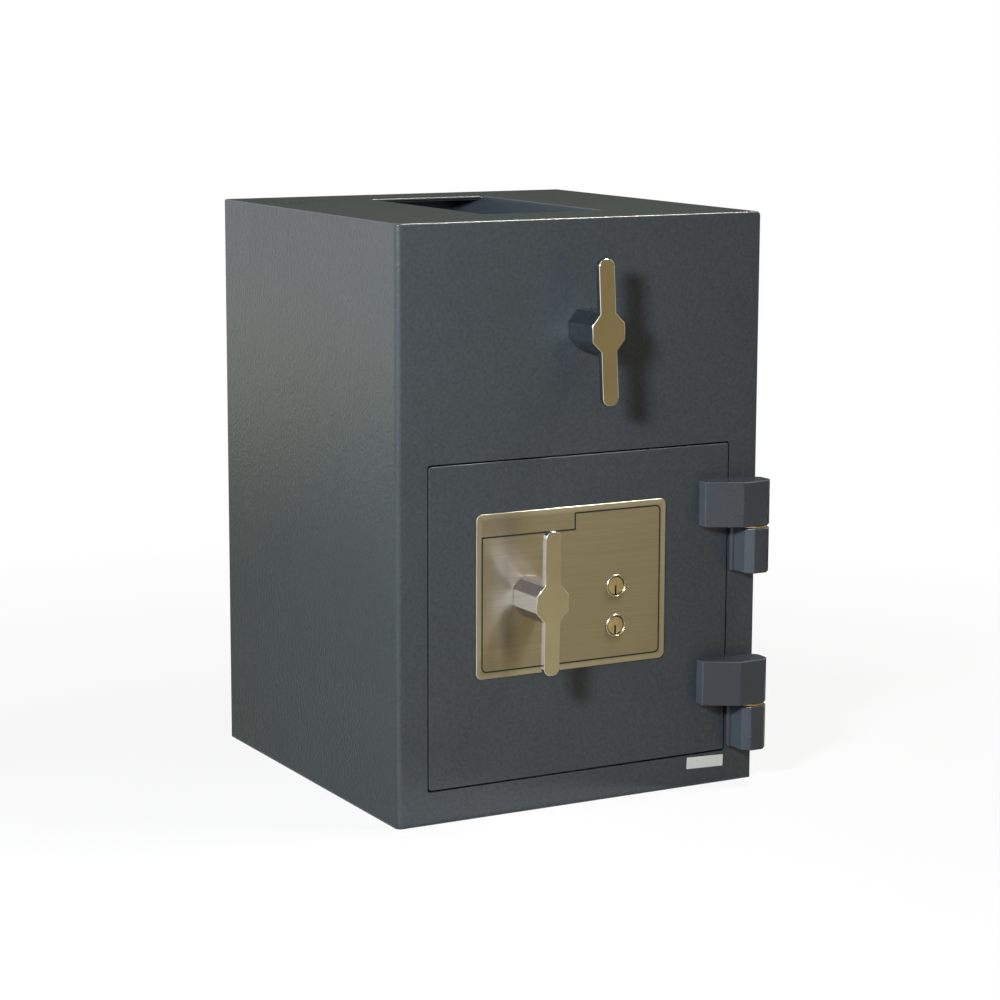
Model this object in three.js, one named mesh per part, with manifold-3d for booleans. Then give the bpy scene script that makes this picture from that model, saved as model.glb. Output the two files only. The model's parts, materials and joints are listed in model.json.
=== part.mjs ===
// Rotary hopper safe, in millimetres. The origin is the centre of the underside of the body.
// +Z is up, +X is to the right of someone facing the door, and -Y is towards them.
import * as THREE from "three";
import { mergeVertices } from "three/addons/utils/BufferGeometryUtils.js";
import Module from "manifold-3d";

const wasm = await Module();
wasm.setup();

// Body
const bodyWidth = 355;
const bodyDepth = 352;
const bodyHeight = 508;
const bodyPlate = 4; // thickness of every body plate
const outerRadius = 4; // rounding of the outer edges, no more than the plate
const cornerPoint = 0.4; // radius left at the top plate's corners above the rounding
const weldSeam = 0.1; // gap left between pieces that are welded or clamped together
const pressGap = 0.3; // gap round a pin, spigot or bush that sits in a hole
const runGap = 0.4; // gap between a turning or sliding piece and its neighbour
const overlap = 1; // depth that joined shapes share, and that cuts run past a face
const anchorHoleRadius = 6.5;
const anchorSpacingX = 220;
const anchorSpacingY = 200;

// Door frame
const frameBorder = 28.25; // visible frame beside and below the door
const headHeight = 200.25; // front panel above the door
const doorGap = 1.5;
const doorThickness = 12.7;
const jambLap = 0.8; // the frame's returns reach this far behind the door

// Hinges
const hingeStandoff = 14.9; // from the door's face out to the pin
const hingeInset = 12.2; // from the side of the body in to the pin
const knuckleAcross = 25.4;
const knuckleChamfer = 6.35;
const hingeBlockHeight = 40;
const hingeTopDrop = 74.75; // from the top of the opening down to the upper washer
const hingeBottomRise = 44.75; // from the bottom of the opening up to the lower washer
const washerThickness = 1.7;
const washerRadius = 12;
const pinRadius = 5;
const pinBite = 30; // length of pin in each block
const leafReach = 47.8; // from the pin to the far end of the door block
const leafToe = 11; // thickness of the door block at its far end
const leafCrest = 18.4; // from the pin to where the door block reaches its full thickness
const leafStep = 17.6; // from the pin to where the door block lies on the door
const leafSlope = 1; // how far that step slopes
const footReach = 15; // from the pin to the foot of the body block's weld

// Handles, both of one pattern
const hubAcross = 31.8;
const hubLength = 40.4;
const barLength = 123.2;
const barWidth = 15;
const barThickness = 5.6;
const barEndRise = 5; // height of the round at each end of the bar
const edgeBreak = 0.8;
const hubBoreDepth = 25;
const setScrewRadius = 3;
const setScrewSocket = 1.6;
const setScrewSocketDepth = 2.5;
const setScrewInset = 12; // from the foot of the hub to its set screw
const hopperHandleLean = 2.7; // degrees that the bar leans to the left at rest
const doorHandleLean = -0.6;

// Hopper mouth and scoop
const mouthWidth = 117;
const mouthLength = 220;
const mouthOffset = 4; // how far the mouth's centre lies behind the body's centre
const mouthCorner = 3;
const scoopRadius = 80;
const scoopSheet = 2;
const scoopLip = 4; // degrees that the scoop goes up past its axis on each side
const scoopHeadroom = 9.5; // between the scoop and the top plate
const discSheet = 3;
const frontRoom = 18; // between the front panel and the front disc
const rearRoom = 23; // between the rear disc and the back plate
const shaftRadius = 8;
const shaftProud = 2; // how far a shaft shows inside its disc
const bushWall = 3;
const bushFlangeWidth = 7;
const bushFlangeThickness = 3;
const bushLength = 14;
const bearingBossLength = 15;
const bearingBossWall = 6;
const bearingBase = 64;
const bearingBaseThickness = 4;
const stopSectorThickness = 5;
const stopSectorRadius = 40;
const stopHubWall = 5;
const stopStudRadius = 5;
const stopStudReach = 31; // from the shaft to the stud

// Guide plates
const guideSheet = 2;
const guideClearance = 2.5;
const guideTail = 12; // degrees that the guides go down past the shaft
const guideFlange = 14;

// Escutcheon, locks and label
const escutcheonWidth = 186.5;
const escutcheonHeight = 141.7;
const escutcheonThickness = 1.2;
const escutcheonCorner = 5.5;
const escutcheonX = -10.25; // centre, from the door's centre
const escutcheonRise = 23.8; // centre, above the door's centre
const handleInset = 42.4; // from the escutcheon's centre to the handle, to the left
const lockInset = 44; // from the escutcheon's centre to the locks, to the right
const handleDrop = 2.3; // handle and upper lock below the escutcheon's centre
const lockSpacing = 35;
const lockBarrelRadius = 9.5;
const lockRimWidth = 0.6;
const lockRimThickness = 0.9;
const lockBarrelTail = 17.3; // length of barrel behind the door
const plugRadius = 7.6;
const plugRecess = 2;
const rimDish = 0.9; // how much wider the recess is at its mouth, on each side
const keywayWidth = 1.8;
const keywayRise = 0.2; // top of the keyway above the plug's axis
const keywayDepth = 22;
const camShank = 7; // square end of the plug that carries the cam
const camRivetRadius = 5.25; // head that holds the cam on its shank
const camRivetHead = 1.3;
const camThickness = 3;
const camWidth = 12;
const camReach = 24;
const labelWidth = 38;
const labelHeight = 10.4;
const labelThickness = 0.3;
const labelInset = 49.2; // from the right side of the body to the label's centre
const labelZ = 20.5;
const labelTilt = 2.1; // degrees, right end down

// Door bolt work
const spindleRadius = 7;
const camDiscRadius = 24;
const driveRadius = 17; // from the spindle to the drive pin
const drivePinRadius = 4;
const driveSlotGap = 0.9; // room for the pin's rise and fall across the slot
const mechanismGap = 1.3; // between pieces that pass each other
const handleTurn = 90; // degrees
const carriageSheet = 4;
const carriageWeb = 18;
const carriageRise = 56; // half height of the carriage's middle
const carriageEdge = 13; // metal outside the drive slot
const boltRadius = 9;
const boltLength = 40;
const boltChamfer = 1.5;
const boltHeadroom = 1; // between the bolts and the frame's returns
const boltSetback = 3.75; // bolt tip inside the door's edge when withdrawn
const boltInset = 50; // from the top or bottom of the door to a bolt
const tongueLength = 12;
const tongueHeight = 14;
const rivetRadius = 2.5;
const rivetSink = 1; // how far the rivets end below the bolts' surface
const studRadius = 4;
const studHeadRadius = 7;
const studHeadThickness = 2.5;
const studRise = 42; // above and below the spindle
const studShift = 12.8; // to the left of the spindle
const railSheet = 4;
const railInset = 11.75; // from the door's left edge to the rail
const deadBarLap = 8; // behind the right jamb
const deadBarWidth = 45;
const deadBarStep = 4.2; // clearance behind the jamb, for the swing
const deadBarThickness = 8.3;
const deadBarInset = 30; // from the top and bottom of the door

// Cover of the bolt work
const coverDepth = 35;
const coverSheet = 1.5;
const coverInset = 26.25; // from the top and bottom of the door
const coverFoot = 12;
const coverRight = 92; // right side, from the door's centre
const screwRadius = 2;
const screwLength = 8;
const screwHeadRadius = 4;
const screwHeadHeight = 2.4;
const screwInset = 38; // from the cover's sides to its screws

// Places worked out from the sizes above
const radians = Math.PI / 180;
const halfWidth = bodyWidth / 2;
const halfDepth = bodyDepth / 2;
const frontY = -halfDepth;
const innerHalfWidth = halfWidth - bodyPlate - weldSeam;
const plateTop = bodyHeight - bodyPlate;
const openHalf = halfWidth - frameBorder;
const openBottom = frameBorder;
const openTop = bodyHeight - headHeight;
const doorHalf = openHalf - doorGap;
const doorBottom = openBottom + doorGap;
const doorTop = openTop - doorGap;
const doorMiddle = (doorBottom + doorTop) / 2;
const returnDepth = doorThickness + jambLap;
const hingeX = halfWidth - hingeInset;
const labelX = halfWidth - labelInset;
const upperWasherZ = openTop - hingeTopDrop;
const lowerWasherZ = openBottom + hingeBottomRise;
const bushBore = shaftRadius + pressGap;
const bushOuter = shaftRadius + bushWall;
const hopperAxisZ = plateTop - scoopHeadroom - scoopRadius;
const frontDiscY = bodyPlate + frontRoom;
const rearDiscY = bodyDepth - bodyPlate - rearRoom;
const escutcheonZ = doorMiddle + escutcheonRise;
const escutcheonFace = escutcheonThickness + weldSeam;
const handleX = escutcheonX - handleInset;
const handleZ = escutcheonZ - handleDrop;
const lockX = escutcheonX + lockInset;
const boltAxisY = returnDepth + boltHeadroom + boltRadius;
const carriageFront = boltAxisY - carriageSheet / 2;
const carriageBack = carriageFront + carriageSheet;
const discFront = doorThickness + mechanismGap;
const discBack = carriageFront - mechanismGap;
const driveThrow = driveRadius * Math.sin((handleTurn / 2) * radians);
const boltTravel = 2 * driveThrow;
const boltTipX = -doorHalf + boltSetback;
const boltRootX = boltTipX + boltLength;
const railX = -doorHalf + railInset;
const coverBack = doorThickness + coverDepth;
const coverTop = doorTop - coverInset;
const coverBottom = doorBottom + coverInset;

// Solids from geometry, and geometry from solids
const sameVertex = 1e-4; // vertices nearer than this are one

function solidFrom(geometry) {
  const bare = geometry.index ? geometry.toNonIndexed() : geometry.clone();
  bare.deleteAttribute("normal");
  bare.deleteAttribute("uv");
  const merged = mergeVertices(bare, sameVertex);
  const mesh = new wasm.Mesh({
    numProp: 3,
    vertProperties: merged.attributes.position.array,
    triVerts: new Uint32Array(merged.index.array),
  });
  return new wasm.Manifold(mesh);
}

function geometryFrom(solid) {
  const mesh = solid.getMesh();
  const geometry = new THREE.BufferGeometry();
  geometry.setAttribute("position", new THREE.BufferAttribute(new Float32Array(mesh.vertProperties), 3));
  geometry.setIndex(new THREE.BufferAttribute(new Uint32Array(mesh.triVerts), 1));
  return geometry;
}

function cut(geometry, ...tools) {
  return geometryFrom(tools.reduce((solid, tool) => solid.subtract(solidFrom(tool)), solidFrom(geometry)));
}

function join(first, ...others) {
  return geometryFrom(others.reduce((solid, other) => solid.add(solidFrom(other)), solidFrom(first)));
}

// A box between two corners
function block([x0, x1], [y0, y1], [z0, z1]) {
  const geometry = new THREE.BoxGeometry(x1 - x0, y1 - y0, z1 - z0);
  return geometry.translate((x0 + x1) / 2, (y0 + y1) / 2, (z0 + z1) / 2);
}

// A flat outline pushed along an axis. Its points are (x, y) along z, (x, z) along y and (y, z) along x.
const unitX = new THREE.Vector3(1, 0, 0);
const unitY = new THREE.Vector3(0, 1, 0);
const unitZ = new THREE.Vector3(0, 0, 1);
const outlineFrames = {
  x: new THREE.Matrix4().makeBasis(unitY, unitZ, unitX),
  y: new THREE.Matrix4().makeBasis(unitX, unitZ, unitY.clone().negate()),
  z: new THREE.Matrix4(),
};

function extrude(outline, axis, from, to, edge = 0, arcSteps = 8) {
  const geometry = new THREE.ExtrudeGeometry(outline, {
    depth: to - from - 2 * edge,
    curveSegments: arcSteps / 2,
    bevelEnabled: edge > 0,
    bevelThickness: edge,
    bevelSize: edge,
    bevelOffset: -edge,
    bevelSegments: 2,
  });
  geometry.translate(0, 0, edge);
  geometry.applyMatrix4(outlineFrames[axis]);
  const shift = axis === "y" ? to : from;
  return geometry.translate(axis === "x" ? shift : 0, axis === "y" ? shift : 0, axis === "z" ? shift : 0);
}

function outlineOf(points) {
  return new THREE.Shape(points.map(([u, v]) => new THREE.Vector2(u, v)));
}

// A round outline with its corners on the radius
function circle(radius, sides = 32) {
  const step = (2 * Math.PI) / sides;
  return outlineOf(
    Array.from({ length: sides }, (_, i) => [radius * Math.cos(i * step), radius * Math.sin(i * step)]),
  );
}

function rod(radius, axis, from, to, sides = 32) {
  return extrude(circle(radius, sides), axis, from, to);
}

// The hole that a rod of this radius passes through, run past both faces
function holeFor(radius, axis, from, to, sides = 32) {
  return rod(radius + pressGap, axis, from - overlap, to + overlap, sides);
}

function roundedRectangle(width, height, radius) {
  const u = width / 2 - radius;
  const v = height / 2 - radius;
  const outline = new THREE.Shape();
  outline.absarc(u, v, radius, 0, Math.PI / 2);
  outline.absarc(-u, v, radius, Math.PI / 2, Math.PI);
  outline.absarc(-u, -v, radius, Math.PI, 1.5 * Math.PI);
  outline.absarc(u, -v, radius, 1.5 * Math.PI, 2 * Math.PI);
  return outline;
}

// A solid turned about the y axis, from a profile of [radius, y] points that is closed or ends on the axis
function turned(profile, sides = 32) {
  return new THREE.LatheGeometry(profile.map(([r, y]) => new THREE.Vector2(r, y)), sides);
}

function tube(outer, inner, from, to, sides = 32) {
  return turned([[inner, from], [outer, from], [outer, to], [inner, to], [inner, from]], sides);
}

// Finishes
function finish(color, roughness, metalness) {
  return new THREE.MeshStandardMaterial({ color, roughness, metalness });
}

const bodyPaint = finish(0x474b4f, 0.6, 0.2);
const hingePaint = finish(0x4a4f56, 0.55, 0.2);
const chrome = finish(0xb8b4a4, 0.12, 1);
const brushedSteel = finish(0x9a8f74, 0.35, 1);
const brass = finish(0xb08d4a, 0.35, 1);
const platedSteel = finish(0x9aa0a4, 0.4, 0.9);
const labelStock = finish(0xd9d8d2, 0.7, 0);

function piece(parent, name, geometry, material, x = 0, y = 0, z = 0) {
  const mesh = new THREE.Mesh(geometry, material);
  mesh.name = name;
  mesh.position.set(x, y, z);
  parent.add(mesh);
  return mesh;
}

function groupAt(parent, x, y, z) {
  const group = new THREE.Group();
  group.position.set(x, y, z);
  parent.add(group);
  return group;
}

const safe = new THREE.Group();

// Body plates. In this group y is measured back from the front face.
const shell = groupAt(safe, 0, frontY, 0);
const rounding = Math.min(outerRadius, bodyPlate);

function sidePlate(side) {
  const inner = halfWidth - bodyPlate;
  const outline = new THREE.Shape();
  outline.moveTo(inner, 0);
  outline.lineTo(halfWidth - rounding, 0);
  outline.absarc(halfWidth - rounding, rounding, rounding, -Math.PI / 2, 0);
  outline.absarc(halfWidth - rounding, bodyDepth - rounding, rounding, 0, Math.PI / 2);
  outline.lineTo(inner, bodyDepth);
  const geometry = extrude(outline, "z", 0, plateTop - weldSeam);
  return side > 0 ? geometry : geometry.rotateZ(Math.PI).translate(0, bodyDepth, 0);
}

piece(shell, "left_side_plate", sidePlate(-1), bodyPaint);
piece(shell, "right_side_plate", sidePlate(1), bodyPaint);

function topPlate() {
  const plan = roundedRectangle(bodyWidth, bodyDepth, rounding);
  const blank = extrude(plan, "z", -bodyPlate, bodyPlate, rounding - cornerPoint);
  const lowerHalf = block([-bodyWidth, bodyWidth], [-bodyDepth, bodyDepth], [-2 * bodyPlate, 0]);
  const opening = roundedRectangle(mouthWidth, mouthLength, mouthCorner);
  const mouth = extrude(opening, "z", -overlap, bodyPlate + overlap);
  return cut(blank, lowerHalf, mouth.translate(0, mouthOffset, 0));
}

piece(shell, "top_plate", topPlate(), bodyPaint, 0, halfDepth, plateTop);

function bottomPlate() {
  const depth = bodyDepth - 2 * bodyPlate - 2 * weldSeam;
  const blank = block([-innerHalfWidth, innerHalfWidth], [-depth / 2, depth / 2], [0, bodyPlate]);
  const holes = [-1, 1].flatMap((i) =>
    [-1, 1].map((j) => {
      const hole = rod(anchorHoleRadius, "z", -overlap, bodyPlate + overlap, 24);
      return hole.translate((i * anchorSpacingX) / 2, (j * anchorSpacingY) / 2, 0);
    }),
  );
  return cut(blank, ...holes);
}

piece(shell, "bottom_plate", bottomPlate(), bodyPaint, 0, halfDepth, 0);
piece(
  shell,
  "back_plate",
  block([-innerHalfWidth, innerHalfWidth], [-bodyPlate, 0], [0, plateTop - weldSeam]),
  bodyPaint,
  0,
  bodyDepth,
  0,
);

// Front panel and sill, each with a return along the door's edge
function frontPanel() {
  const face = block([-innerHalfWidth, innerHalfWidth], [0, bodyPlate], [openTop, plateTop - weldSeam]);
  const reach = openHalf + bodyPlate;
  const flange = block([-reach, reach], [bodyPlate - overlap, returnDepth], [openTop, openTop + bodyPlate]);
  const hole = holeFor(bushOuter, "y", 0, bodyPlate);
  return cut(join(face, flange), hole.translate(0, 0, hopperAxisZ));
}

function doorSill() {
  const face = block([-innerHalfWidth, innerHalfWidth], [0, bodyPlate], [0, openBottom]);
  const reach = openHalf + bodyPlate;
  const depth = [bodyPlate - overlap, returnDepth];
  return join(face, block([-reach, reach], depth, [openBottom - bodyPlate, openBottom]));
}

function jamb(side) {
  const back = openHalf + bodyPlate;
  const points = [
    [openHalf, 0],
    [innerHalfWidth, 0],
    [innerHalfWidth, bodyPlate],
    [back, bodyPlate],
    [back, returnDepth],
    [openHalf, returnDepth],
  ];
  const outline = outlineOf(points.map(([x, y]) => [side * x, y]));
  return extrude(outline, "z", openBottom + weldSeam, openTop - weldSeam);
}

piece(shell, "front_panel", frontPanel(), bodyPaint);
piece(shell, "door_sill", doorSill(), bodyPaint);
piece(shell, "left_jamb", jamb(-1), bodyPaint);
piece(shell, "right_jamb", jamb(1), bodyPaint);

const labelSheet = new THREE.BoxGeometry(labelWidth, labelThickness, labelHeight);
labelSheet.translate(0, -labelThickness / 2, 0);
const label = piece(shell, "blank_label", labelSheet, labelStock, labelX, -weldSeam, labelZ);
label.rotation.y = labelTilt * radians;

// Guide plates from the mouth down round the scoop
const hopper = groupAt(safe, 0, frontY, hopperAxisZ);

function guidePlate(side) {
  const inner = mouthWidth / 2;
  const outer = inner + guideSheet;
  const nearRadius = scoopRadius + guideClearance;
  const farRadius = nearRadius + guideSheet;
  const nearAngle = Math.acos(inner / nearRadius);
  const farAngle = Math.acos(outer / farRadius);
  const tail = -guideTail * radians;
  const top = plateTop - weldSeam - hopperAxisZ;
  const outline = new THREE.Shape();
  outline.moveTo(inner, top);
  outline.lineTo(inner, nearRadius * Math.sin(nearAngle));
  outline.absarc(0, 0, nearRadius, nearAngle, tail, true);
  outline.absarc(0, 0, farRadius, tail, farAngle, false);
  outline.lineTo(outer, top - guideSheet);
  outline.lineTo(outer + guideFlange, top - guideSheet);
  outline.lineTo(outer + guideFlange, top);
  const near = bodyPlate + weldSeam;
  const geometry = extrude(outline, "y", near, bodyDepth - near);
  return side > 0 ? geometry : geometry.rotateZ(Math.PI).translate(0, bodyDepth, 0);
}

piece(hopper, "guide_plate_left", guidePlate(-1), bodyPaint);
piece(hopper, "guide_plate_right", guidePlate(1), bodyPaint);

// Bearings of the scoop
function frontBush() {
  const flangeStart = bodyPlate + weldSeam;
  const flangeEnd = flangeStart + bushFlangeThickness;
  return turned([
    [bushBore, weldSeam],
    [bushOuter, weldSeam],
    [bushOuter, flangeStart],
    [bushOuter + bushFlangeWidth, flangeStart],
    [bushOuter + bushFlangeWidth, flangeEnd],
    [bushOuter, flangeEnd],
    [bushOuter, bushLength],
    [bushBore, bushLength],
    [bushBore, weldSeam],
  ]);
}

const bearingBack = bodyDepth - bodyPlate - weldSeam;
const bearingFront = bearingBack - bearingBaseThickness - bearingBossLength;

function bearingBlock() {
  const base = roundedRectangle(bearingBase, bearingBase, bearingBaseThickness);
  const foot = extrude(base, "y", bearingBack - bearingBaseThickness, bearingBack);
  const boss = rod(bushOuter + bearingBossWall, "y", bearingFront, bearingBack - overlap);
  return cut(join(foot, boss), holeFor(bushOuter, "y", bearingFront, bearingBack));
}

piece(hopper, "front_bush", frontBush(), brass);
piece(hopper, "rear_bearing_block", bearingBlock(), bodyPaint);
piece(hopper, "rear_bush", tube(bushOuter, bushBore, bearingFront, bearingBack - weldSeam), brass);

const sectorFront = bushLength + runGap;
const stopStud = rod(stopStudRadius, "y", bodyPlate + weldSeam, sectorFront + stopSectorThickness, 24);
piece(hopper, "stop_stud", stopStud, platedSteel, stopStudReach);

// Handle of the common pattern. Its foot is at y = 0, its face at -hubLength, and its bar stands along z.
function handleOutline() {
  const half = hubAcross / 2;
  const corner = half * Math.tan(Math.PI / 8);
  const arm = barWidth / 2;
  const shoulder = Math.min(half, half + corner - arm);
  const endRadius = (arm * arm + barEndRise * barEndRise) / (2 * barEndRise);
  const endCentre = barLength / 2 - endRadius;
  const spread = Math.asin(arm / endRadius);
  const outline = new THREE.Shape();
  outline.moveTo(half, corner);
  if (arm < corner) outline.lineTo(corner, half);
  outline.lineTo(arm, shoulder);
  outline.absarc(0, endCentre, endRadius, Math.PI / 2 - spread, Math.PI / 2 + spread);
  outline.lineTo(-arm, shoulder);
  if (arm < corner) outline.lineTo(-corner, half);
  outline.lineTo(-half, corner);
  outline.lineTo(-half, -corner);
  if (arm < corner) outline.lineTo(-corner, -half);
  outline.lineTo(-arm, -shoulder);
  outline.absarc(0, -endCentre, endRadius, 1.5 * Math.PI - spread, 1.5 * Math.PI + spread);
  outline.lineTo(arm, -shoulder);
  if (arm < corner) outline.lineTo(corner, -half);
  outline.lineTo(half, -corner);
  return outline;
}

function octagon(across) {
  const half = across / 2;
  const corner = half * Math.tan(Math.PI / 8);
  const quarter = [[half, -corner], [half, corner]];
  const turn = [([u, v]) => [u, v], ([u, v]) => [-v, u], ([u, v]) => [-u, -v], ([u, v]) => [v, -u]];
  return outlineOf(turn.flatMap((way) => quarter.map(way)));
}

function handle(boreRadius) {
  const face = extrude(handleOutline(), "y", -hubLength, -hubLength + barThickness, edgeBreak);
  const stem = extrude(octagon(hubAcross), "y", -hubLength + edgeBreak, 0);
  const bore = rod(boreRadius + pressGap, "y", -hubBoreDepth, overlap);
  const screwHole = rod(setScrewRadius + pressGap, "x", 0, hubAcross, 20).translate(0, -setScrewInset, 0);
  return cut(join(face, stem), bore, screwHole);
}

function setScrew(boreRadius) {
  const screw = rod(setScrewRadius, "x", boreRadius + weldSeam, hubAcross / 2 - edgeBreak, 20);
  const face = hubAcross / 2 - edgeBreak;
  const socket = rod(setScrewSocket, "x", face - setScrewSocketDepth, face + overlap, 6);
  return cut(screw, socket).translate(0, -setScrewInset, 0);
}

// Scoop and everything that turns with it
const drum = groupAt(hopper, 0, 0, 0);
const hopperHandle = groupAt(drum, 0, -runGap, 0);
hopperHandle.rotation.y = -hopperHandleLean * radians;
piece(hopperHandle, "hopper_handle", handle(shaftRadius), chrome);
piece(hopperHandle, "hopper_handle_set_screw", setScrew(shaftRadius), platedSteel);

const frontShaftEnds = [-runGap - hubBoreDepth + weldSeam, frontDiscY + discSheet + shaftProud];
const frontShaft = rod(shaftRadius, "y", ...frontShaftEnds);
piece(drum, "hopper_shaft_front", frontShaft, platedSteel);

function endDisc() {
  return cut(rod(scoopRadius, "y", 0, discSheet, 64), holeFor(shaftRadius, "y", 0, discSheet));
}

piece(drum, "scoop_disc_front", endDisc(), bodyPaint, 0, frontDiscY, 0);
piece(drum, "scoop_disc_rear", endDisc(), bodyPaint, 0, rearDiscY - discSheet, 0);

function scoopShell() {
  const start = Math.PI - scoopLip * radians;
  const end = 2 * Math.PI + scoopLip * radians;
  const outline = new THREE.Shape();
  outline.absarc(0, 0, scoopRadius, start, end, false);
  outline.absarc(0, 0, scoopRadius - scoopSheet, end, start, true);
  const near = frontDiscY + discSheet + weldSeam;
  return extrude(outline, "y", near, rearDiscY - discSheet - weldSeam, 0, 32);
}

piece(drum, "scoop_shell", scoopShell(), bodyPaint);
piece(
  drum,
  "hopper_shaft_rear",
  rod(shaftRadius, "y", rearDiscY - discSheet - shaftProud, bearingBack - bearingBaseThickness),
  platedSteel,
);

function stopSector() {
  const chord = stopStudRadius + runGap;
  const disc = rod(stopSectorRadius, "y", sectorFront, sectorFront + stopSectorThickness, 48);
  const upper = block([-bodyWidth, bodyWidth], [0, bodyDepth], [-chord, bodyWidth]);
  const hub = rod(shaftRadius + stopHubWall, "y", sectorFront, sectorFront + stopSectorThickness);
  const bore = holeFor(shaftRadius, "y", sectorFront, sectorFront + stopSectorThickness);
  return cut(join(cut(disc, upper), hub), bore);
}

piece(drum, "stop_sector", stopSector(), platedSteel);

// Hinges. In a hinge's group the pin is the z axis, and z = 0 is the underside of the washer.
const leafBack = hingeStandoff - weldSeam;
const knuckleHalf = knuckleAcross / 2;
const knuckleFlat = knuckleHalf - knuckleChamfer;

function doorBlock() {
  const outline = outlineOf([
    [-leafReach, leafBack],
    [-leafReach, hingeStandoff - leafToe],
    [-leafCrest, -knuckleHalf],
    [knuckleFlat, -knuckleHalf],
    [knuckleHalf, -knuckleFlat],
    [knuckleHalf, knuckleFlat],
    [knuckleFlat, knuckleHalf],
    [-leafStep + leafSlope, knuckleHalf],
    [-leafStep, leafBack],
  ]);
  const bottom = washerThickness + runGap;
  const bore = rod(pinRadius + pressGap, "z", bottom - overlap, bottom + pinBite + pressGap, 24);
  return cut(extrude(outline, "z", bottom, bottom + hingeBlockHeight), bore);
}

function bodyBlock() {
  const outline = outlineOf([
    [-footReach, leafBack],
    [-knuckleHalf, knuckleFlat],
    [-knuckleHalf, -knuckleFlat],
    [-knuckleFlat, -knuckleHalf],
    [knuckleFlat, -knuckleHalf],
    [knuckleHalf, -knuckleFlat],
    [knuckleHalf, knuckleFlat],
    [knuckleFlat, leafBack],
  ]);
  const bore = rod(pinRadius + pressGap, "z", -pinBite - pressGap, overlap, 24);
  return cut(extrude(outline, "z", -weldSeam - hingeBlockHeight, -weldSeam), bore);
}

const door = groupAt(safe, 0, frontY, 0);

for (const [place, z] of [["upper", upperWasherZ], ["lower", lowerWasherZ]]) {
  const fixed = groupAt(safe, hingeX, frontY - hingeStandoff, z);
  piece(fixed, "hinge_body_block_" + place, bodyBlock(), hingePaint);
  const pin = rod(pinRadius, "z", -pinBite, washerThickness + pinBite, 24);
  piece(fixed, "hinge_pin_" + place, pin, platedSteel);
  const ring = tube(washerRadius, pinRadius + pressGap, 0, washerThickness).rotateX(Math.PI / 2);
  piece(fixed, "hinge_washer_" + place, ring, brass);
  const swinging = groupAt(door, hingeX, -hingeStandoff, z);
  piece(swinging, "hinge_door_block_" + place, doorBlock(), hingePaint);
}

// Door plate and what is fixed to it. In the door's group y is measured back from the door's face.
const screwXs = [railX + railSheet + screwInset, coverRight - screwInset];
const screwZs = [coverBottom - coverFoot / 2, coverTop + coverFoot / 2];
const screwHoleDepth = screwLength + pressGap;

function doorPlate() {
  const blank = block([-doorHalf, doorHalf], [0, doorThickness], [doorBottom, doorTop]);
  const spindleHole = holeFor(spindleRadius, "y", 0, doorThickness).translate(handleX, 0, handleZ);
  const lockHoles = [0, 1].map((i) => {
    const hole = holeFor(lockBarrelRadius, "y", 0, doorThickness);
    return hole.translate(lockX, 0, handleZ - i * lockSpacing);
  });
  const screwHoles = screwXs.flatMap((x) =>
    screwZs.map((z) => {
      const ends = [doorThickness - screwHoleDepth, doorThickness + overlap];
      const hole = rod(screwRadius + pressGap, "y", ...ends, 16);
      return hole.translate(x, 0, z);
    }),
  );
  return cut(blank, spindleHole, ...lockHoles, ...screwHoles);
}

piece(door, "door_plate", doorPlate(), bodyPaint);

function escutcheonPlate() {
  const outline = roundedRectangle(escutcheonWidth, escutcheonHeight, escutcheonCorner);
  const blank = extrude(outline, "y", -escutcheonFace, -weldSeam);
  const spindleHole = holeFor(spindleRadius, "y", -escutcheonFace, 0);
  const lockHoles = [0, 1].map((i) => {
    const hole = holeFor(lockBarrelRadius, "y", -escutcheonFace, 0);
    return hole.translate(lockInset, 0, -handleDrop - i * lockSpacing);
  });
  return cut(blank, spindleHole.translate(-handleInset, 0, -handleDrop), ...lockHoles);
}

piece(door, "escutcheon_plate", escutcheonPlate(), brushedSteel, escutcheonX, 0, escutcheonZ);

function deadBar() {
  const tip = openHalf + deadBarLap;
  const root = tip - deadBarWidth;
  const shoulder = doorHalf - boltSetback;
  const front = returnDepth + deadBarStep;
  const outline = outlineOf([
    [root, doorThickness + weldSeam],
    [shoulder, doorThickness + weldSeam],
    [shoulder, front],
    [tip, front],
    [tip, front + deadBarThickness],
    [root, front + deadBarThickness],
  ]);
  return extrude(outline, "z", doorBottom + deadBarInset, doorTop - deadBarInset);
}

piece(door, "dead_bar", deadBar(), platedSteel);

// Key locks. In a lock's group the plug's axis is the y axis, and y = 0 is the door's face.
const rimFront = -escutcheonFace - weldSeam - lockRimThickness;
const plugFront = rimFront + plugRecess;
const barrelEnd = doorThickness + lockBarrelTail;
const plugEnd = barrelEnd + mechanismGap;
const camFront = plugEnd + runGap;
const shankEnd = camFront + camThickness + runGap;

function lockBarrel() {
  const bore = plugRadius + pressGap;
  const rim = lockBarrelRadius + lockRimWidth;
  return turned([
    [bore + rimDish, rimFront],
    [rim, rimFront],
    [rim, rimFront + lockRimThickness],
    [lockBarrelRadius, rimFront + lockRimThickness],
    [lockBarrelRadius, barrelEnd],
    [bore, barrelEnd],
    [bore, plugFront],
    [bore + rimDish, rimFront],
  ]);
}

function keyPlug() {
  const body = rod(plugRadius, "y", plugFront, plugEnd);
  const half = camShank / 2;
  const shank = block([-half, half], [plugEnd - overlap, shankEnd], [-half, half]);
  const rivetHead = rod(camRivetRadius, "y", shankEnd - weldSeam, shankEnd + camRivetHead, 24);
  const keyway = block(
    [-keywayWidth / 2, keywayWidth / 2],
    [plugFront - overlap, plugFront + keywayDepth],
    [-plugRadius - overlap, keywayRise],
  );
  return cut(join(body, shank, rivetHead), keyway);
}

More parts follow.
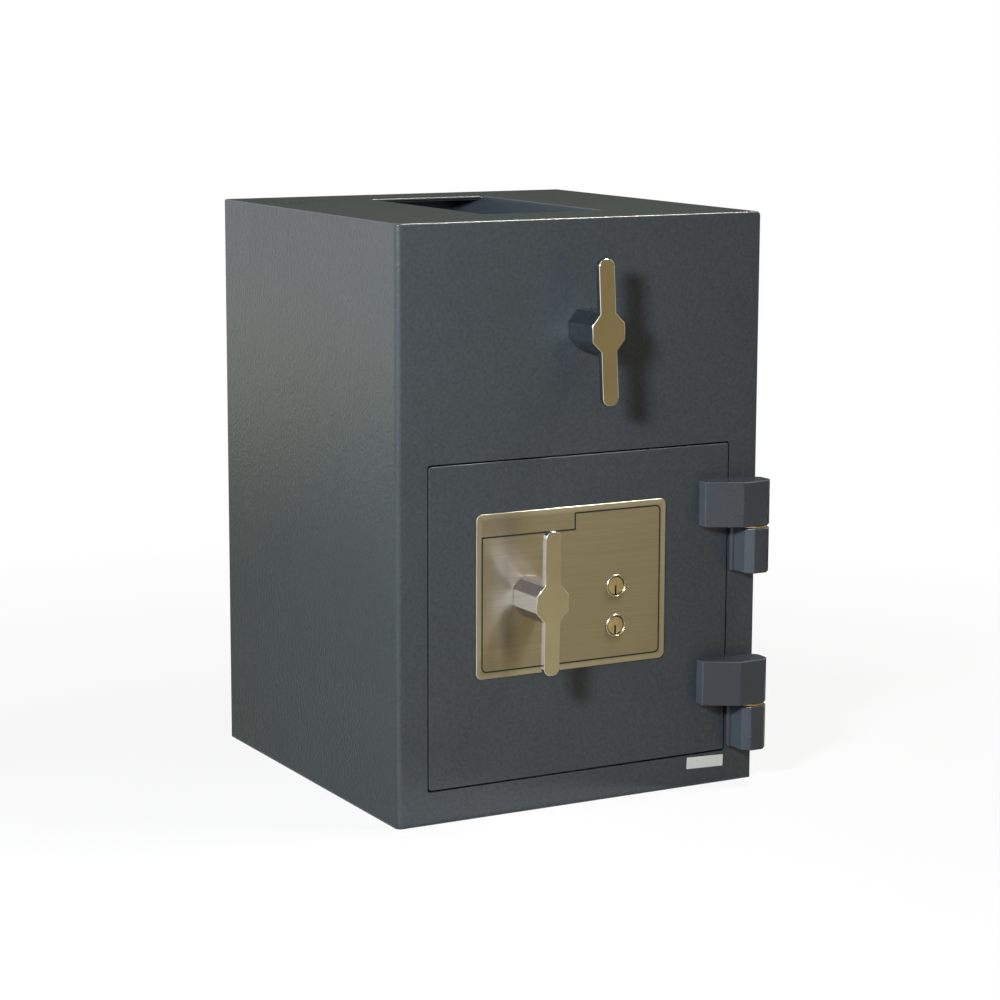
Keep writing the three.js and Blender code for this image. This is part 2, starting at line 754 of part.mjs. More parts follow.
function lockCam() {
  const half = camWidth / 2;
  const outline = new THREE.Shape();
  outline.moveTo(half, 0);
  outline.lineTo(half, camReach);
  outline.lineTo(-half, camReach);
  outline.lineTo(-half, 0);
  outline.absarc(0, 0, half, Math.PI, 2 * Math.PI);
  const hole = camShank / 2 + pressGap;
  const square = block([-hole, hole], [plugEnd, shankEnd], [-hole, hole]);
  return cut(extrude(outline, "y", camFront, camFront + camThickness), square);
}

["upper", "lower"].forEach((place, i) => {
  const lock = groupAt(door, lockX, 0, handleZ - i * lockSpacing);
  piece(lock, "lock_barrel_" + place, lockBarrel(), chrome);
  piece(lock, "key_plug_" + place, keyPlug(), brass);
  piece(lock, "lock_cam_" + place, lockCam(), platedSteel);
});

// Door handle, spindle, cam disc and drive pin
const turning = groupAt(door, handleX, 0, handleZ);
const doorHandle = groupAt(turning, 0, -escutcheonFace - runGap, 0);
doorHandle.rotation.y = -doorHandleLean * radians;
piece(doorHandle, "door_handle", handle(spindleRadius), chrome);
piece(doorHandle, "door_handle_set_screw", setScrew(spindleRadius), platedSteel);

const spindleFront = -escutcheonFace - runGap - hubBoreDepth + weldSeam;
piece(turning, "door_spindle", rod(spindleRadius, "y", spindleFront, discBack), platedSteel);

function camDisc() {
  const disc = rod(camDiscRadius, "y", discFront, discBack, 48);
  const pinHole = holeFor(drivePinRadius, "y", discFront, discBack, 24);
  return cut(
    disc,
    holeFor(spindleRadius, "y", discFront, discBack),
    pinHole.translate(driveThrow, 0, driveThrow),
  );
}

piece(turning, "cam_disc", camDisc(), platedSteel);
const drivePin = rod(drivePinRadius, "y", discFront, carriageBack + mechanismGap, 24);
piece(turning, "drive_pin", drivePin, platedSteel, driveThrow, 0, driveThrow);

// Bolt carriage, drawn with the bolts withdrawn
const boltZs = { upper: doorTop - boltInset, lower: doorBottom + boltInset };
const slotX = handleX + driveThrow;
const slotHalf = drivePinRadius + driveSlotGap;

function carriagePlate() {
  const depth = [carriageFront, carriageBack];
  const right = slotX + slotHalf + carriageEdge;
  const halfTongue = tongueHeight / 2;
  const web = block(
    [boltRootX + weldSeam, boltRootX + carriageWeb],
    depth,
    [boltZs.lower - carriageWeb, boltZs.upper + carriageWeb],
  );
  const rise = [handleZ - carriageRise, handleZ + carriageRise];
  const middle = block([boltRootX + weldSeam, right], depth, rise);
  const tongues = Object.values(boltZs).map((z) =>
    block([boltRootX - tongueLength, boltRootX + overlap], depth, [z - halfTongue, z + halfTongue]),
  );
  const cutDepth = [carriageFront - overlap, carriageBack + overlap];
  const driveSlot = block(
    [slotX - slotHalf, slotX + slotHalf],
    cutDepth,
    [handleZ + driveThrow - slotHalf, handleZ + driveRadius + slotHalf],
  );
  const studSlots = [-1, 1].map((way) => {
    const half = studRadius + runGap;
    const outline = roundedRectangle(boltTravel + 2 * half, 2 * half, half - weldSeam);
    const slot = extrude(outline, "y", ...cutDepth);
    return slot.translate(handleX - studShift + boltTravel / 2, 0, handleZ + way * studRise);
  });
  const rivetHoles = Object.values(boltZs).map((z) => {
    const hole = holeFor(rivetRadius, "y", carriageFront, carriageBack, 16);
    return hole.translate(boltRootX - tongueLength / 2, 0, z);
  });
  return cut(join(web, middle, ...tongues), driveSlot, ...studSlots, ...rivetHoles);
}

const carriage = groupAt(door, 0, 0, 0);
piece(carriage, "bolt_carriage_plate", carriagePlate(), platedSteel);

// A live bolt lies along x, with its tip at x = 0 and a slot for the carriage's tongue at its root
function liveBolt() {
  const turnedBolt = turned([
    [0, 0],
    [boltRadius - boltChamfer, 0],
    [boltRadius, boltChamfer],
    [boltRadius, boltLength],
    [0, boltLength],
  ]);
  const bolt = turnedBolt.rotateZ(-Math.PI / 2);
  const gap = carriageSheet / 2 + pressGap;
  const slot = block(
    [boltLength - tongueLength - pressGap, boltLength + overlap],
    [-gap, gap],
    [-boltRadius - overlap, boltRadius + overlap],
  );
  const rivetHole = holeFor(rivetRadius, "y", -boltRadius, boltRadius, 16);
  return cut(bolt, slot, rivetHole.translate(boltLength - tongueLength / 2, 0, 0));
}

for (const [place, z] of Object.entries(boltZs)) {
  const bolt = groupAt(carriage, boltTipX, boltAxisY, z);
  piece(bolt, "live_bolt_" + place, liveBolt(), platedSteel);
  const rivet = rod(rivetRadius, "y", rivetSink - boltRadius, boltRadius - rivetSink, 16);
  piece(bolt, "bolt_rivet_" + place, rivet, platedSteel, boltLength - tongueLength / 2);
}

// Rail that guides the bolts, and shoulder studs that guide the carriage
function guideRail() {
  const rail = block(
    [railX, railX + railSheet],
    [doorThickness + weldSeam, coverBack],
    [coverBottom - coverFoot, coverTop + coverFoot],
  );
  const holes = Object.values(boltZs).map((z) =>
    holeFor(boltRadius, "x", railX, railX + railSheet).translate(0, boltAxisY, z),
  );
  return cut(rail, ...holes);
}

piece(door, "bolt_guide_rail", guideRail(), platedSteel);

function shoulderStud() {
  const shoulder = carriageBack + runGap;
  return turned(
    [
      [0, doorThickness + weldSeam],
      [studRadius, doorThickness + weldSeam],
      [studRadius, shoulder],
      [studHeadRadius, shoulder],
      [studHeadRadius, shoulder + studHeadThickness],
      [0, shoulder + studHeadThickness],
    ],
    24,
  );
}

piece(door, "carriage_stud_upper", shoulderStud(), platedSteel, handleX - studShift, 0, handleZ + studRise);
piece(door, "carriage_stud_lower", shoulderStud(), platedSteel, handleX - studShift, 0, handleZ - studRise);

// Sheet cover over the bolt work, with a foot along its top and bottom
function innerCover() {
  const left = railX + railSheet + weldSeam;
  const across = [left, coverRight];
  const front = doorThickness + weldSeam;
  const face = block(across, [coverBack - coverSheet, coverBack], [coverBottom, coverTop]);
  const right = block([coverRight - coverSheet, coverRight], [front, coverBack], [coverBottom, coverTop]);
  const top = block(across, [front, coverBack], [coverTop - coverSheet, coverTop]);
  const bottom = block(across, [front, coverBack], [coverBottom, coverBottom + coverSheet]);
  const foot = [front, front + coverSheet];
  const topFoot = block(across, foot, [coverTop - coverSheet, coverTop + coverFoot]);
  const bottomFoot = block(across, foot, [coverBottom - coverFoot, coverBottom + coverSheet]);
  const holes = screwXs.flatMap((x) =>
    screwZs.map((z) => holeFor(screwRadius, "y", ...foot, 16).translate(x, 0, z)),
  );
  return cut(join(face, right, top, bottom, topFoot, bottomFoot), ...holes);
}

piece(door, "inner_cover", innerCover(), bodyPaint);

function coverScrew() {
  const seat = doorThickness + 2 * weldSeam + coverSheet;
  return turned(
    [
      [0, seat - screwLength],
      [screwRadius, seat - screwLength],
      [screwRadius, seat],
      [screwHeadRadius, seat],
      [screwHeadRadius, seat + screwHeadHeight / 2],
      [screwHeadRadius / 2, seat + screwHeadHeight],
      [0, seat + screwHeadHeight],
    ],
    20,
  );
}

screwXs.forEach((x, i) => {
  screwZs.forEach((z, j) => {
    const name = "cover_screw_" + ["lower", "upper"][j] + "_" + ["left", "right"][i];
    piece(door, name, coverScrew(), platedSteel, x, 0, z);
  });
});

export default safe;
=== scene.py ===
import json
import math

import bmesh
import bpy
from mathutils import Matrix, Vector


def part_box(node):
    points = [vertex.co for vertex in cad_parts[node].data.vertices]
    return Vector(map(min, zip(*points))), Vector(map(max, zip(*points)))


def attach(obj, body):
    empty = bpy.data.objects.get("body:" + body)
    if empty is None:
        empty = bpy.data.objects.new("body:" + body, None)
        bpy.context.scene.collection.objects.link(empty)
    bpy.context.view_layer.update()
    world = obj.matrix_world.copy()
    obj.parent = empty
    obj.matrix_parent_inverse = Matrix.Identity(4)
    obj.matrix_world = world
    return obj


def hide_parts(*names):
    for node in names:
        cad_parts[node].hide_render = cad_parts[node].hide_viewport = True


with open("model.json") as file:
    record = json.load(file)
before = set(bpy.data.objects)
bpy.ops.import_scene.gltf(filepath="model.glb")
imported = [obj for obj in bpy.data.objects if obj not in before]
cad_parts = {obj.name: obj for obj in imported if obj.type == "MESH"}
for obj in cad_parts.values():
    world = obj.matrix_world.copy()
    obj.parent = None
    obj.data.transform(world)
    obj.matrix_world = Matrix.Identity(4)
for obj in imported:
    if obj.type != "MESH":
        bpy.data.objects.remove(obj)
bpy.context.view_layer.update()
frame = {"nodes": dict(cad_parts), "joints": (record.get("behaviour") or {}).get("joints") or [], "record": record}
joints = {joint["name"]: joint for joint in frame["joints"]}
print("frame loaded:", len(frame["nodes"]), "nodes")

# General working functions


def deselectAll():
    if bpy.context.mode != "OBJECT":
        bpy.ops.object.mode_set(mode="OBJECT")
    bpy.ops.object.select_all(action="DESELECT")


def takeUp(piece):  # the piece alone is selected and active
    deselectAll()
    piece.select_set(True)
    bpy.context.view_layer.objects.active = piece


def settle(piece):  # its place, turn and scale go into the mesh
    takeUp(piece)
    bpy.ops.object.transform_apply(location=True, rotation=True, scale=True)
    return piece


def newest(name):
    piece = bpy.context.active_object
    piece.name = name
    piece.data.name = name
    return settle(piece)


def addBlock(name, low, high):
    deselectAll()
    low, high = Vector(low), Vector(high)
    bpy.ops.mesh.primitive_cube_add(size=1, location=(low + high) / 2, scale=high - low)
    return newest(name)


turnsTo = {"x": (0, math.pi / 2, 0), "y": (math.pi / 2, 0, 0), "z": (0, 0, 0)}


def addRod(name, centre, radius, length, axis="y", sides=48):
    deselectAll()
    bpy.ops.mesh.primitive_cylinder_add(
        vertices=sides, radius=radius, depth=length, location=centre, rotation=turnsTo[axis]
    )
    return newest(name)


def openMesh(piece, mode="EDGE"):  # into edit mode with nothing selected
    takeUp(piece)
    bpy.ops.object.mode_set(mode="EDIT")
    bpy.ops.mesh.select_mode(type=mode)
    bpy.ops.mesh.select_all(action="DESELECT")
    return bmesh.from_edit_mesh(piece.data)


def closeMesh(piece):
    bpy.ops.object.mode_set(mode="OBJECT")
    return piece


def selectEdges(piece, wanted):  # wanted(a, b) is asked with the two ends of each edge
    mesh = openMesh(piece, "EDGE")
    for edge in mesh.edges:
        edge.select_set(wanted(edge.verts[0].co, edge.verts[1].co))
    bmesh.update_edit_mesh(piece.data)


def selectFaces(piece, wanted):  # wanted(centre, normal) is asked for each face
    mesh = openMesh(piece, "FACE")
    for face in mesh.faces:
        face.select_set(bool(wanted(face.calc_center_median(), face.normal)))
    bmesh.update_edit_mesh(piece.data)


def runsAlong(axis):
    def wanted(a, b):
        step = b - a
        return all(abs(step[i]) < 1e-6 for i in range(3) if i != "xyz".index(axis))

    return wanted


def roundEdges(piece, wanted, radius, steps=5):
    selectEdges(piece, wanted)
    bpy.ops.mesh.bevel(offset=radius, segments=steps, affect="EDGES")
    return closeMesh(piece)


def applied(piece, kind, **settings):
    takeUp(piece)
    modifier = piece.modifiers.new(kind.lower(), kind)
    for key, value in settings.items():
        setattr(modifier, key, value)
    bpy.ops.object.modifier_apply(modifier=modifier.name)
    return piece


def combine(piece, cutters, operation):
    for cutter in cutters:
        applied(piece, "BOOLEAN", object=cutter, operation=operation, solver="EXACT")
        bpy.data.objects.remove(cutter)
    return piece


def carve(piece, *cutters):
    return combine(piece, cutters, "DIFFERENCE")


def weld(piece, *others):
    return combine(piece, others, "UNION")


def cleanFlats(piece, angle=0.4):  # merges doubles, and flat neighbours into one face
    openMesh(piece, "VERT")
    bpy.ops.mesh.select_all(action="SELECT")
    bpy.ops.mesh.remove_doubles(threshold=2e-6)
    bpy.ops.mesh.dissolve_limited(angle_limit=math.radians(angle))
    return closeMesh(piece)


def soften(piece, width, steps=2, sharpest=32):
    if width:
        applied(
            piece, "BEVEL", width=width, segments=steps, limit_method="ANGLE",
            angle_limit=math.radians(sharpest), use_clamp_overlap=True,
        )
    takeUp(piece)
    bpy.ops.object.shade_smooth_by_angle(angle=math.radians(50))
    return applied(piece, "WEIGHTED_NORMAL", keep_sharp=True, weight=80)


def softCopy(node, width, steps=2, sharpest=32, name=None):
    source = frame["nodes"][node]
    piece = bpy.data.objects.new(name or node + "_finished", source.data.copy())
    bpy.context.collection.objects.link(piece)
    piece.data.materials.clear()
    cleanFlats(piece)
    return soften(piece, width, steps, sharpest)


def turned(name, centre, profile, sides=64):
    # profile is a closed list of (radius, y), y measured from the centre
    deselectAll()
    centre = Vector(centre)
    radius, y = profile[0]
    bpy.ops.mesh.primitive_circle_add(
        vertices=sides, radius=radius, location=centre + Vector((0, y, 0)), rotation=turnsTo["y"]
    )
    piece = newest(name)
    openMesh(piece, "EDGE")
    bpy.ops.mesh.select_all(action="SELECT")
    for nextRadius, nextY in profile[1:]:
        bpy.ops.mesh.extrude_region_move(TRANSFORM_OT_translate={"value": (0, nextY - y, 0)})
        grow = nextRadius / radius
        ring = centre + Vector((0, nextY, 0))
        bpy.ops.transform.resize(value=(grow, 1, grow), center_override=ring)
        radius, y = nextRadius, nextY
    bpy.ops.mesh.select_all(action="SELECT")
    bpy.ops.mesh.remove_doubles(threshold=2e-6)
    bpy.ops.mesh.normals_make_consistent(inside=False)
    return closeMesh(piece)


def finishPiece(piece, body, finish, slot, *nodes):
    piece.data.materials.clear()
    piece.data.materials.append(finish)
    settle(piece)
    if nodes:
        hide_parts(*nodes)
    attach(piece, body)
    return piece


def repaint(piece, finish, wanted):  # wanted(centre, normal) is asked for each face
    piece.data.materials.append(finish)
    for face in piece.data.polygons:
        if wanted(face.center, face.normal):
            face.material_index = len(piece.data.materials) - 1


def bodyOf(node):
    bodies = frame["record"]["behaviour"]["bodies"]
    return next(body for body, nodes in bodies.items() if node in nodes)


def slotOf(node):
    parts = frame["record"]["subparts"]
    return next(part["material_slot"] for part in parts if part["node"] == node)


# Shader maths. A Wire is one output socket, and arithmetic on it adds Math nodes.


class Wire:
    def __init__(self, tree, socket):
        self.tree = tree
        self.socket = socket

    def math(self, operation, *others, clamp=False):
        node = self.tree.nodes.new("ShaderNodeMath")
        node.operation = operation
        node.use_clamp = clamp
        for socket, value in zip(node.inputs, (self,) + others):
            plug(self.tree, socket, value)
        return Wire(self.tree, node.outputs[0])

    def flipped(self, operation, other):
        node = self.tree.nodes.new("ShaderNodeMath")
        node.operation = operation
        plug(self.tree, node.inputs[0], other)
        plug(self.tree, node.inputs[1], self)
        return Wire(self.tree, node.outputs[0])

    def __add__(self, other):
        return self.math("ADD", other)

    def __radd__(self, other):
        return self.flipped("ADD", other)

    def __sub__(self, other):
        return self.math("SUBTRACT", other)

    def __rsub__(self, other):
        return self.flipped("SUBTRACT", other)

    def __mul__(self, other):
        return self.math("MULTIPLY", other)

    def __rmul__(self, other):
        return self.flipped("MULTIPLY", other)

    def __truediv__(self, other):
        return self.math("DIVIDE", other)

    def __rtruediv__(self, other):
        return self.flipped("DIVIDE", other)

    def __neg__(self):
        return self.math("MULTIPLY", -1)

    def above(self, edge, width):  # 0 below the edge, 1 above it, over a soft width
        return ((self - edge) / width + 0.5).math("ADD", 0, clamp=True)


def plug(tree, socket, value):
    if isinstance(value, Wire):
        tree.links.new(value.socket, socket)
    else:
        socket.default_value = value


class Finish:
    def __init__(self, name, **constants):
        self.material = bpy.data.materials.new(name)
        self.material.use_nodes = True
        self.tree = self.material.node_tree
        self.shader = self.tree.nodes["Principled BSDF"]
        self.output = self.tree.nodes["Material Output"]
        for key, value in constants.items():
            self.shader.inputs[key.replace("_", " ")].default_value = value
        self.place = self.node("ShaderNodeTexCoord", output="Object")

    def node(self, kind, settings=None, inputs=None, output=0):
        node = self.tree.nodes.new(kind)
        for key, value in (settings or {}).items():
            setattr(node, key, value)
        for key, value in (inputs or {}).items():
            plug(self.tree, node.inputs[key], value)
        return Wire(self.tree, node.outputs[output])

    def stretched(self, *scale):
        return self.node("ShaderNodeMapping", inputs={"Vector": self.place, "Scale": scale})

    def noise(self, scale, detail=2, roughness=0.5, vector=None):
        inputs = {"Vector": vector or self.place, "Scale": scale, "Detail": detail}
        inputs["Roughness"] = roughness
        return self.node("ShaderNodeTexNoise", inputs=inputs)

    def cells(self, scale, feature, output="Distance"):
        inputs = {"Vector": self.place, "Scale": scale}
        return self.node("ShaderNodeTexVoronoi", {"feature": feature}, inputs, output)

    def coordinate(self, axis):
        return self.node("ShaderNodeSeparateXYZ", inputs={"Vector": self.place}, output=axis)

    def distance(self):  # from the origin of the object
        settings = {"operation": "LENGTH"}
        return self.node("ShaderNodeVectorMath", settings, {0: self.place}, "Value")

    def blend(self, factor, first, second):
        node = self.tree.nodes.new("ShaderNodeMix")
        node.data_type = "RGBA"
        plug(self.tree, node.inputs["Factor"], factor)
        plug(self.tree, node.inputs[6], first)
        plug(self.tree, node.inputs[7], second)
        return Wire(self.tree, node.outputs[2])

    def bump(self, height, strength, distance):
        inputs = {"Height": height, "Strength": strength, "Distance": distance}
        self.feed("Normal", self.node("ShaderNodeBump", inputs=inputs))

    def feed(self, socket, value):
        plug(self.tree, self.shader.inputs[socket], value)


def rgb(red, green, blue):
    return (red, green, blue, 1)


# Finishes

midNoise = 0.5  # the middle value of every noise

paintLook = {
    "tone": rgb(0.051, 0.059, 0.071),
    "lightTone": rgb(0.057, 0.065, 0.077),
    "mottle": 14,
    "drift": 260,
    "grainCell": 400,
    "grainFine": 1500,
    # creaseShade and grainShade set the painted shade in the grain's creases; driftShade sets a random darker
    # mottle
    "creaseShade": 0.6,
    "creaseEdge": 0.42,
    "grainShade": 0.22,
    "driftShade": 0.2,
    "grainShare": 0.32,
    "fineShare": 0.14,
    "driftShare": 0.07,
    "grainHeight": 0.0006,
    "grainStrength": 1.0,
    "roughness": 0.22,
    "fineRoughness": 0.16,
    "driftRoughness": 0.1,
}


def texturedPaint():  # leather-grained powder coat
    look = paintLook
    finish = Finish("textured_paint", Specular_IOR_Level=0.5)
    mottle = finish.noise(look["mottle"], 3)
    drift = finish.noise(look["drift"], 2)
    grain = finish.cells(look["grainCell"], "SMOOTH_F1")
    fine = finish.noise(look["grainFine"], 2)
    tone = finish.blend(mottle.above(midNoise, 0.5), look["tone"], look["lightTone"])
    # Painted shade: where the grain cells' distance is high, the base colour darkens towards black and stands for
    # shade in the grain's creases. The drift noise adds a random darker mottle, the paint's own tone.
    shadedTone = finish.blend(look["creaseShade"], tone, rgb(0, 0, 0))
    shadeAndMottle = grain.above(look["creaseEdge"], 0.5) * look["grainShade"]
    shadeAndMottle = shadeAndMottle + drift.above(midNoise, 0.5) * look["driftShade"]
    finish.feed("Base Color", finish.blend(shadeAndMottle, tone, shadedTone))
    height = grain * look["grainShare"] + fine * look["fineShare"] + drift * look["driftShare"]
    finish.bump(height, look["grainStrength"], look["grainHeight"])
    uneven = (fine - midNoise) * look["fineRoughness"]
    uneven = uneven + (drift - midNoise) * look["driftRoughness"]
    finish.feed("Roughness", look["roughness"] + uneven)
    return finish.material


smoothLook = {
    "tones": (rgb(0.050, 0.061, 0.080), rgb(0.058, 0.069, 0.090)),
    "mottle": 9,
    "peel": 420,
    "peelStrength": 0.18,
    "peelHeight": 0.0002,
    "roughness": 0.46,
    "uneven": 0.14,
}


def smoothPaint():  # the same paint on the inner sheets, with no grain
    look = smoothLook
    finish = Finish("smooth_paint", Specular_IOR_Level=0.4)
    mottle = finish.noise(look["mottle"], 3)
    finish.feed("Base Color", finish.blend(mottle.above(midNoise, 0.6), *look["tones"]))
    finish.bump(finish.noise(look["peel"], 2), look["peelStrength"], look["peelHeight"])
    finish.feed("Roughness", look["roughness"] + (mottle - midNoise) * look["uneven"])
    return finish.material


blockLook = {
    "tones": (rgb(0.044, 0.049, 0.062), rgb(0.050, 0.055, 0.068)),
    # painted highlight: lighter tones for the faces that catch more light
    "paintedHighlightTones": (rgb(0.060, 0.071, 0.094), rgb(0.068, 0.079, 0.102)),
    "mottle": 20,
    "drift": 190,
    "grainCell": 620,
    "driftShare": 0.5,
    "grainShare": 0.6,
    "grainStrength": 0.7,
    "grainHeight": 0.0004,
    "roughness": 0.24,
    "uneven": 0.14,
}


def hingePaint(name, tones):  # thicker and a little glossier, run smooth over cast blocks
    look = blockLook
    finish = Finish(name, Specular_IOR_Level=0.45)
    mottle = finish.noise(look["mottle"], 3)
    finish.feed("Base Color", finish.blend(mottle.above(midNoise, 0.5), *tones))
    drift = finish.noise(look["drift"], 3)
    grain = finish.cells(look["grainCell"], "SMOOTH_F1")
    height = drift * look["driftShare"] + grain * look["grainShare"]
    finish.bump(height, look["grainStrength"], look["grainHeight"])
    finish.feed("Roughness", look["roughness"] + (drift - midNoise) * look["uneven"])
    return finish.material


chromeLook = {
    "tones": (rgb(0.74, 0.72, 0.66), rgb(0.83, 0.81, 0.76)),
    "smudge": 38,
    "roughness": 0.035,
    "smudgeEdge": 0.52,
    "smudgeRoughness": 0.03,
    "wave": 70,
    "waveStrength": 0.05,
    "waveHeight": 0.0006,
    # frontDepth, facetLift and facetReach place the painted reflections on the handles' flanks and stem
    "frontDepth": (0.0013, 0.0006),  # where each tone starts, and over what width
    "facetLift": (0.0068, 0.0008),
    "facetReach": (0.0082, 0.0006),
}


def chromePlate(name="chrome_plate", node=None, joint=None, flankReflectionTone=None, facetReflectionTone=None):
    look = chromeLook
    finish = Finish(name, Metallic=1.0)
    smudge = finish.noise(look["smudge"], 4, 0.6)
    tone = finish.blend(smudge.above(midNoise, 0.6), *look["tones"])
    if node:  # tones that stand for the studio's light on the flanks and the stem
        spot = joints[joint]["pos_m"]
        behind = (finish.coordinate("Y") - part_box(node)[0].y).above(*look["frontDepth"])
        upper = (finish.coordinate("Z") - spot[2]).above(*look["facetLift"])
        outer = (spot[0] - finish.coordinate("X")).above(*look["facetReach"])
        flank = finish.blend(upper * outer, flankReflectionTone, facetReflectionTone)
        tone = finish.blend(behind, tone, flank)
    finish.feed("Base Color", tone)
    smudged = smudge.above(look["smudgeEdge"], 0.3) * look["smudgeRoughness"]
    finish.feed("Roughness", look["roughness"] + smudged)
    finish.bump(finish.noise(look["wave"], 2), look["waveStrength"], look["waveHeight"])
    return finish.material


steelLook = {
    "tones": (rgb(0.41, 0.375, 0.30), rgb(0.54, 0.50, 0.405)),
    "borderTone": rgb(0.70, 0.69, 0.61),
    "borderShare": 0.6,
    "borderWidth": 0.0045,
    "borderFade": 0.003,
    "streaks": (9, 1100, 1100),
    "broadStreaks": (1.8, 220, 220),
    "streakStrength": 0.6,
    "streakHeight": 0.0001,
    "roughness": 0.27,
    "uneven": 0.08,
}


def brushedSteel():  # the border was polished brighter than the brushed field
    look = steelLook
    finish = Finish("brushed_steel", Metallic=1.0, Anisotropic=0.85, Anisotropic_Rotation=0.25)
    low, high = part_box("escutcheon_plate")
    middle, reach = (low + high) / 2, (high - low) / 2
    sides = []
    for axis in "xz":
        away = (finish.coordinate(axis.upper()) - getattr(middle, axis)).math("ABSOLUTE")
        sides.append(away.above(getattr(reach, axis) - look["borderWidth"], look["borderFade"]))
    border = sides[0].math("MAXIMUM", sides[1])
    streaks = finish.noise(1, 3, 0.65, finish.stretched(*look["streaks"]))
    broad = finish.noise(1, 2, 0.5, finish.stretched(*look["broadStreaks"]))
    field = finish.blend((streaks * 0.7 + broad * 0.3).above(midNoise, 0.5), *look["tones"])
    tone = finish.blend(border * look["borderShare"], field, look["borderTone"])
    finish.feed("Base Color", tone)
    finish.feed("Roughness", look["roughness"] + streaks * look["uneven"])
    finish.bump(streaks * 0.8 + broad * 0.2, look["streakStrength"], look["streakHeight"])
    return finish.material


satinLook = {
    "tones": (rgb(0.40, 0.38, 0.31), rgb(0.56, 0.53, 0.45)),
    "wear": 420,
    "roughness": 0.2,
    "uneven": 0.14,
    "grain": 1600,
    "grainStrength": 0.3,
    "grainHeight": 0.00008,
}


def satinPlate():
    look = satinLook
    finish = Finish("satin_chrome", Metallic=1.0)
    wear = finish.noise(look["wear"], 3, 0.6)
    finish.feed("Base Color", finish.blend(wear.above(midNoise, 0.4), *look["tones"]))
    finish.feed("Roughness", look["roughness"] + wear * look["uneven"])
    finish.bump(finish.noise(look["grain"], 2), look["grainStrength"], look["grainHeight"])
    return finish.material


brassLook = {
    "tones": (rgb(0.55, 0.39, 0.16), rgb(0.80, 0.60, 0.28)),
    "plugTones": (rgb(0.70, 0.60, 0.36), rgb(0.92, 0.84, 0.58)),
    "tarnish": 120,
    "roughness": 0.24,
    "uneven": 0.2,
    "turning": 900,
    "turningStrength": 0.15,
    "turningHeight": 0.00005,
}


def turnedBrass(name, tones):
    look = brassLook
    finish = Finish(name, Metallic=1.0)
    tarnish = finish.noise(look["tarnish"], 4, 0.6)
    finish.feed("Base Color", finish.blend(tarnish.above(midNoise, 0.4), *tones))
    finish.feed("Roughness", look["roughness"] + tarnish * look["uneven"])
    finish.bump(finish.noise(look["turning"], 2), look["turningStrength"], look["turningHeight"])
    return finish.material


zincLook = {
    "tones": (rgb(0.42, 0.43, 0.44), rgb(0.62, 0.63, 0.64)),
    "spangle": 240,
    "spangleShare": 0.35,
    "haze": 30,
    "hazeShare": 0.65,
    "roughness": 0.3,
    "uneven": 0.2,
    "grain": 1400,
    "grainStrength": 0.2,
    "grainHeight": 0.00005,
}


def zincPlate():
    look = zincLook
    finish = Finish("zinc_plate", Metallic=1.0)
    spangle = finish.cells(look["spangle"], "F1", output="Color")
    tint = finish.node("ShaderNodeSeparateColor", inputs={"Color": spangle})
    haze = finish.noise(look["haze"], 4, 0.6)
    cover = tint * look["spangleShare"] + haze * look["hazeShare"]
    finish.feed("Base Color", finish.blend(cover.above(midNoise, 0.5), *look["tones"]))
    finish.feed("Roughness", look["roughness"] + haze * look["uneven"])
    finish.bump(finish.noise(look["grain"], 2), look["grainStrength"], look["grainHeight"])
    return finish.material


paperLook = {
    "tones": (rgb(0.70, 0.70, 0.66), rgb(0.80, 0.80, 0.77)),
    "fibre": 900,
    "fibreShare": 0.3,
    "stain": 60,
    "stainShare": 0.7,
    "fibreStrength": 0.15,
    "fibreHeight": 0.00004,
}


def labelPaper():
    look = paperLook
    finish = Finish("label_paper", Roughness=0.55)
    fibre = finish.noise(look["fibre"], 3)
    stain = finish.noise(look["stain"], 3)
    cover = stain * look["stainShare"] + fibre * look["fibreShare"]
    finish.feed("Base Color", finish.blend(cover.above(midNoise, 0.4), *look["tones"]))
    finish.bump(fibre, look["fibreStrength"], look["fibreHeight"])
    return finish.material


inkLook = {
    "tones": (rgb(0.012, 0.012, 0.012), rgb(0.03, 0.03, 0.028)),
    "fleck": 1500,
    "fleckEdge": 0.58,
}


def blackInk():
    finish = Finish("black_ink", Roughness=0.5)
    look = inkLook
    fleck = finish.noise(look["fleck"], 3)
    finish.feed("Base Color", finish.blend(fleck.above(look["fleckEdge"], 0.2), *look["tones"]))
    return finish.material


paint = texturedPaint()
innerPaint = smoothPaint()
blockPaint = hingePaint("hinge_paint", blockLook["tones"])
# Painted highlight: a lighter copy of the hinge paint, for the faces that catch more light.
paintedHighlightPaint = hingePaint("hinge_paint_painted_highlight", blockLook["paintedHighlightTones"])  # for faces that catch more light
chrome = chromePlate()
steel = brushedSteel()
brass = turnedBrass("turned_brass", brassLook["tones"])
plugBrass = turnedBrass("plug_brass", brassLook["plugTones"])
satinChrome = satinPlate()
zinc = zincPlate()
paper = labelPaper()
ink = blackInk()
print("finishes made")

# Body

shell = {
    "frontLeftRound": 0.005,
    "topRightRound": 0.0042,
    "edgeRound": 0.0019,
    "edgeSteps": 6,
    "mouthLength": 0.220,
    "mouthShift": 0.004,
    "mouthCorner": 0.003,
    "shaftHole": 0.0113,
    "doorwayCorner": 0.003,
    "lipThickness": 0.0018,
    "lipReach": 0.006,
    "mouthRim": 0.0010,
    "softEdge": 0.0013,
}


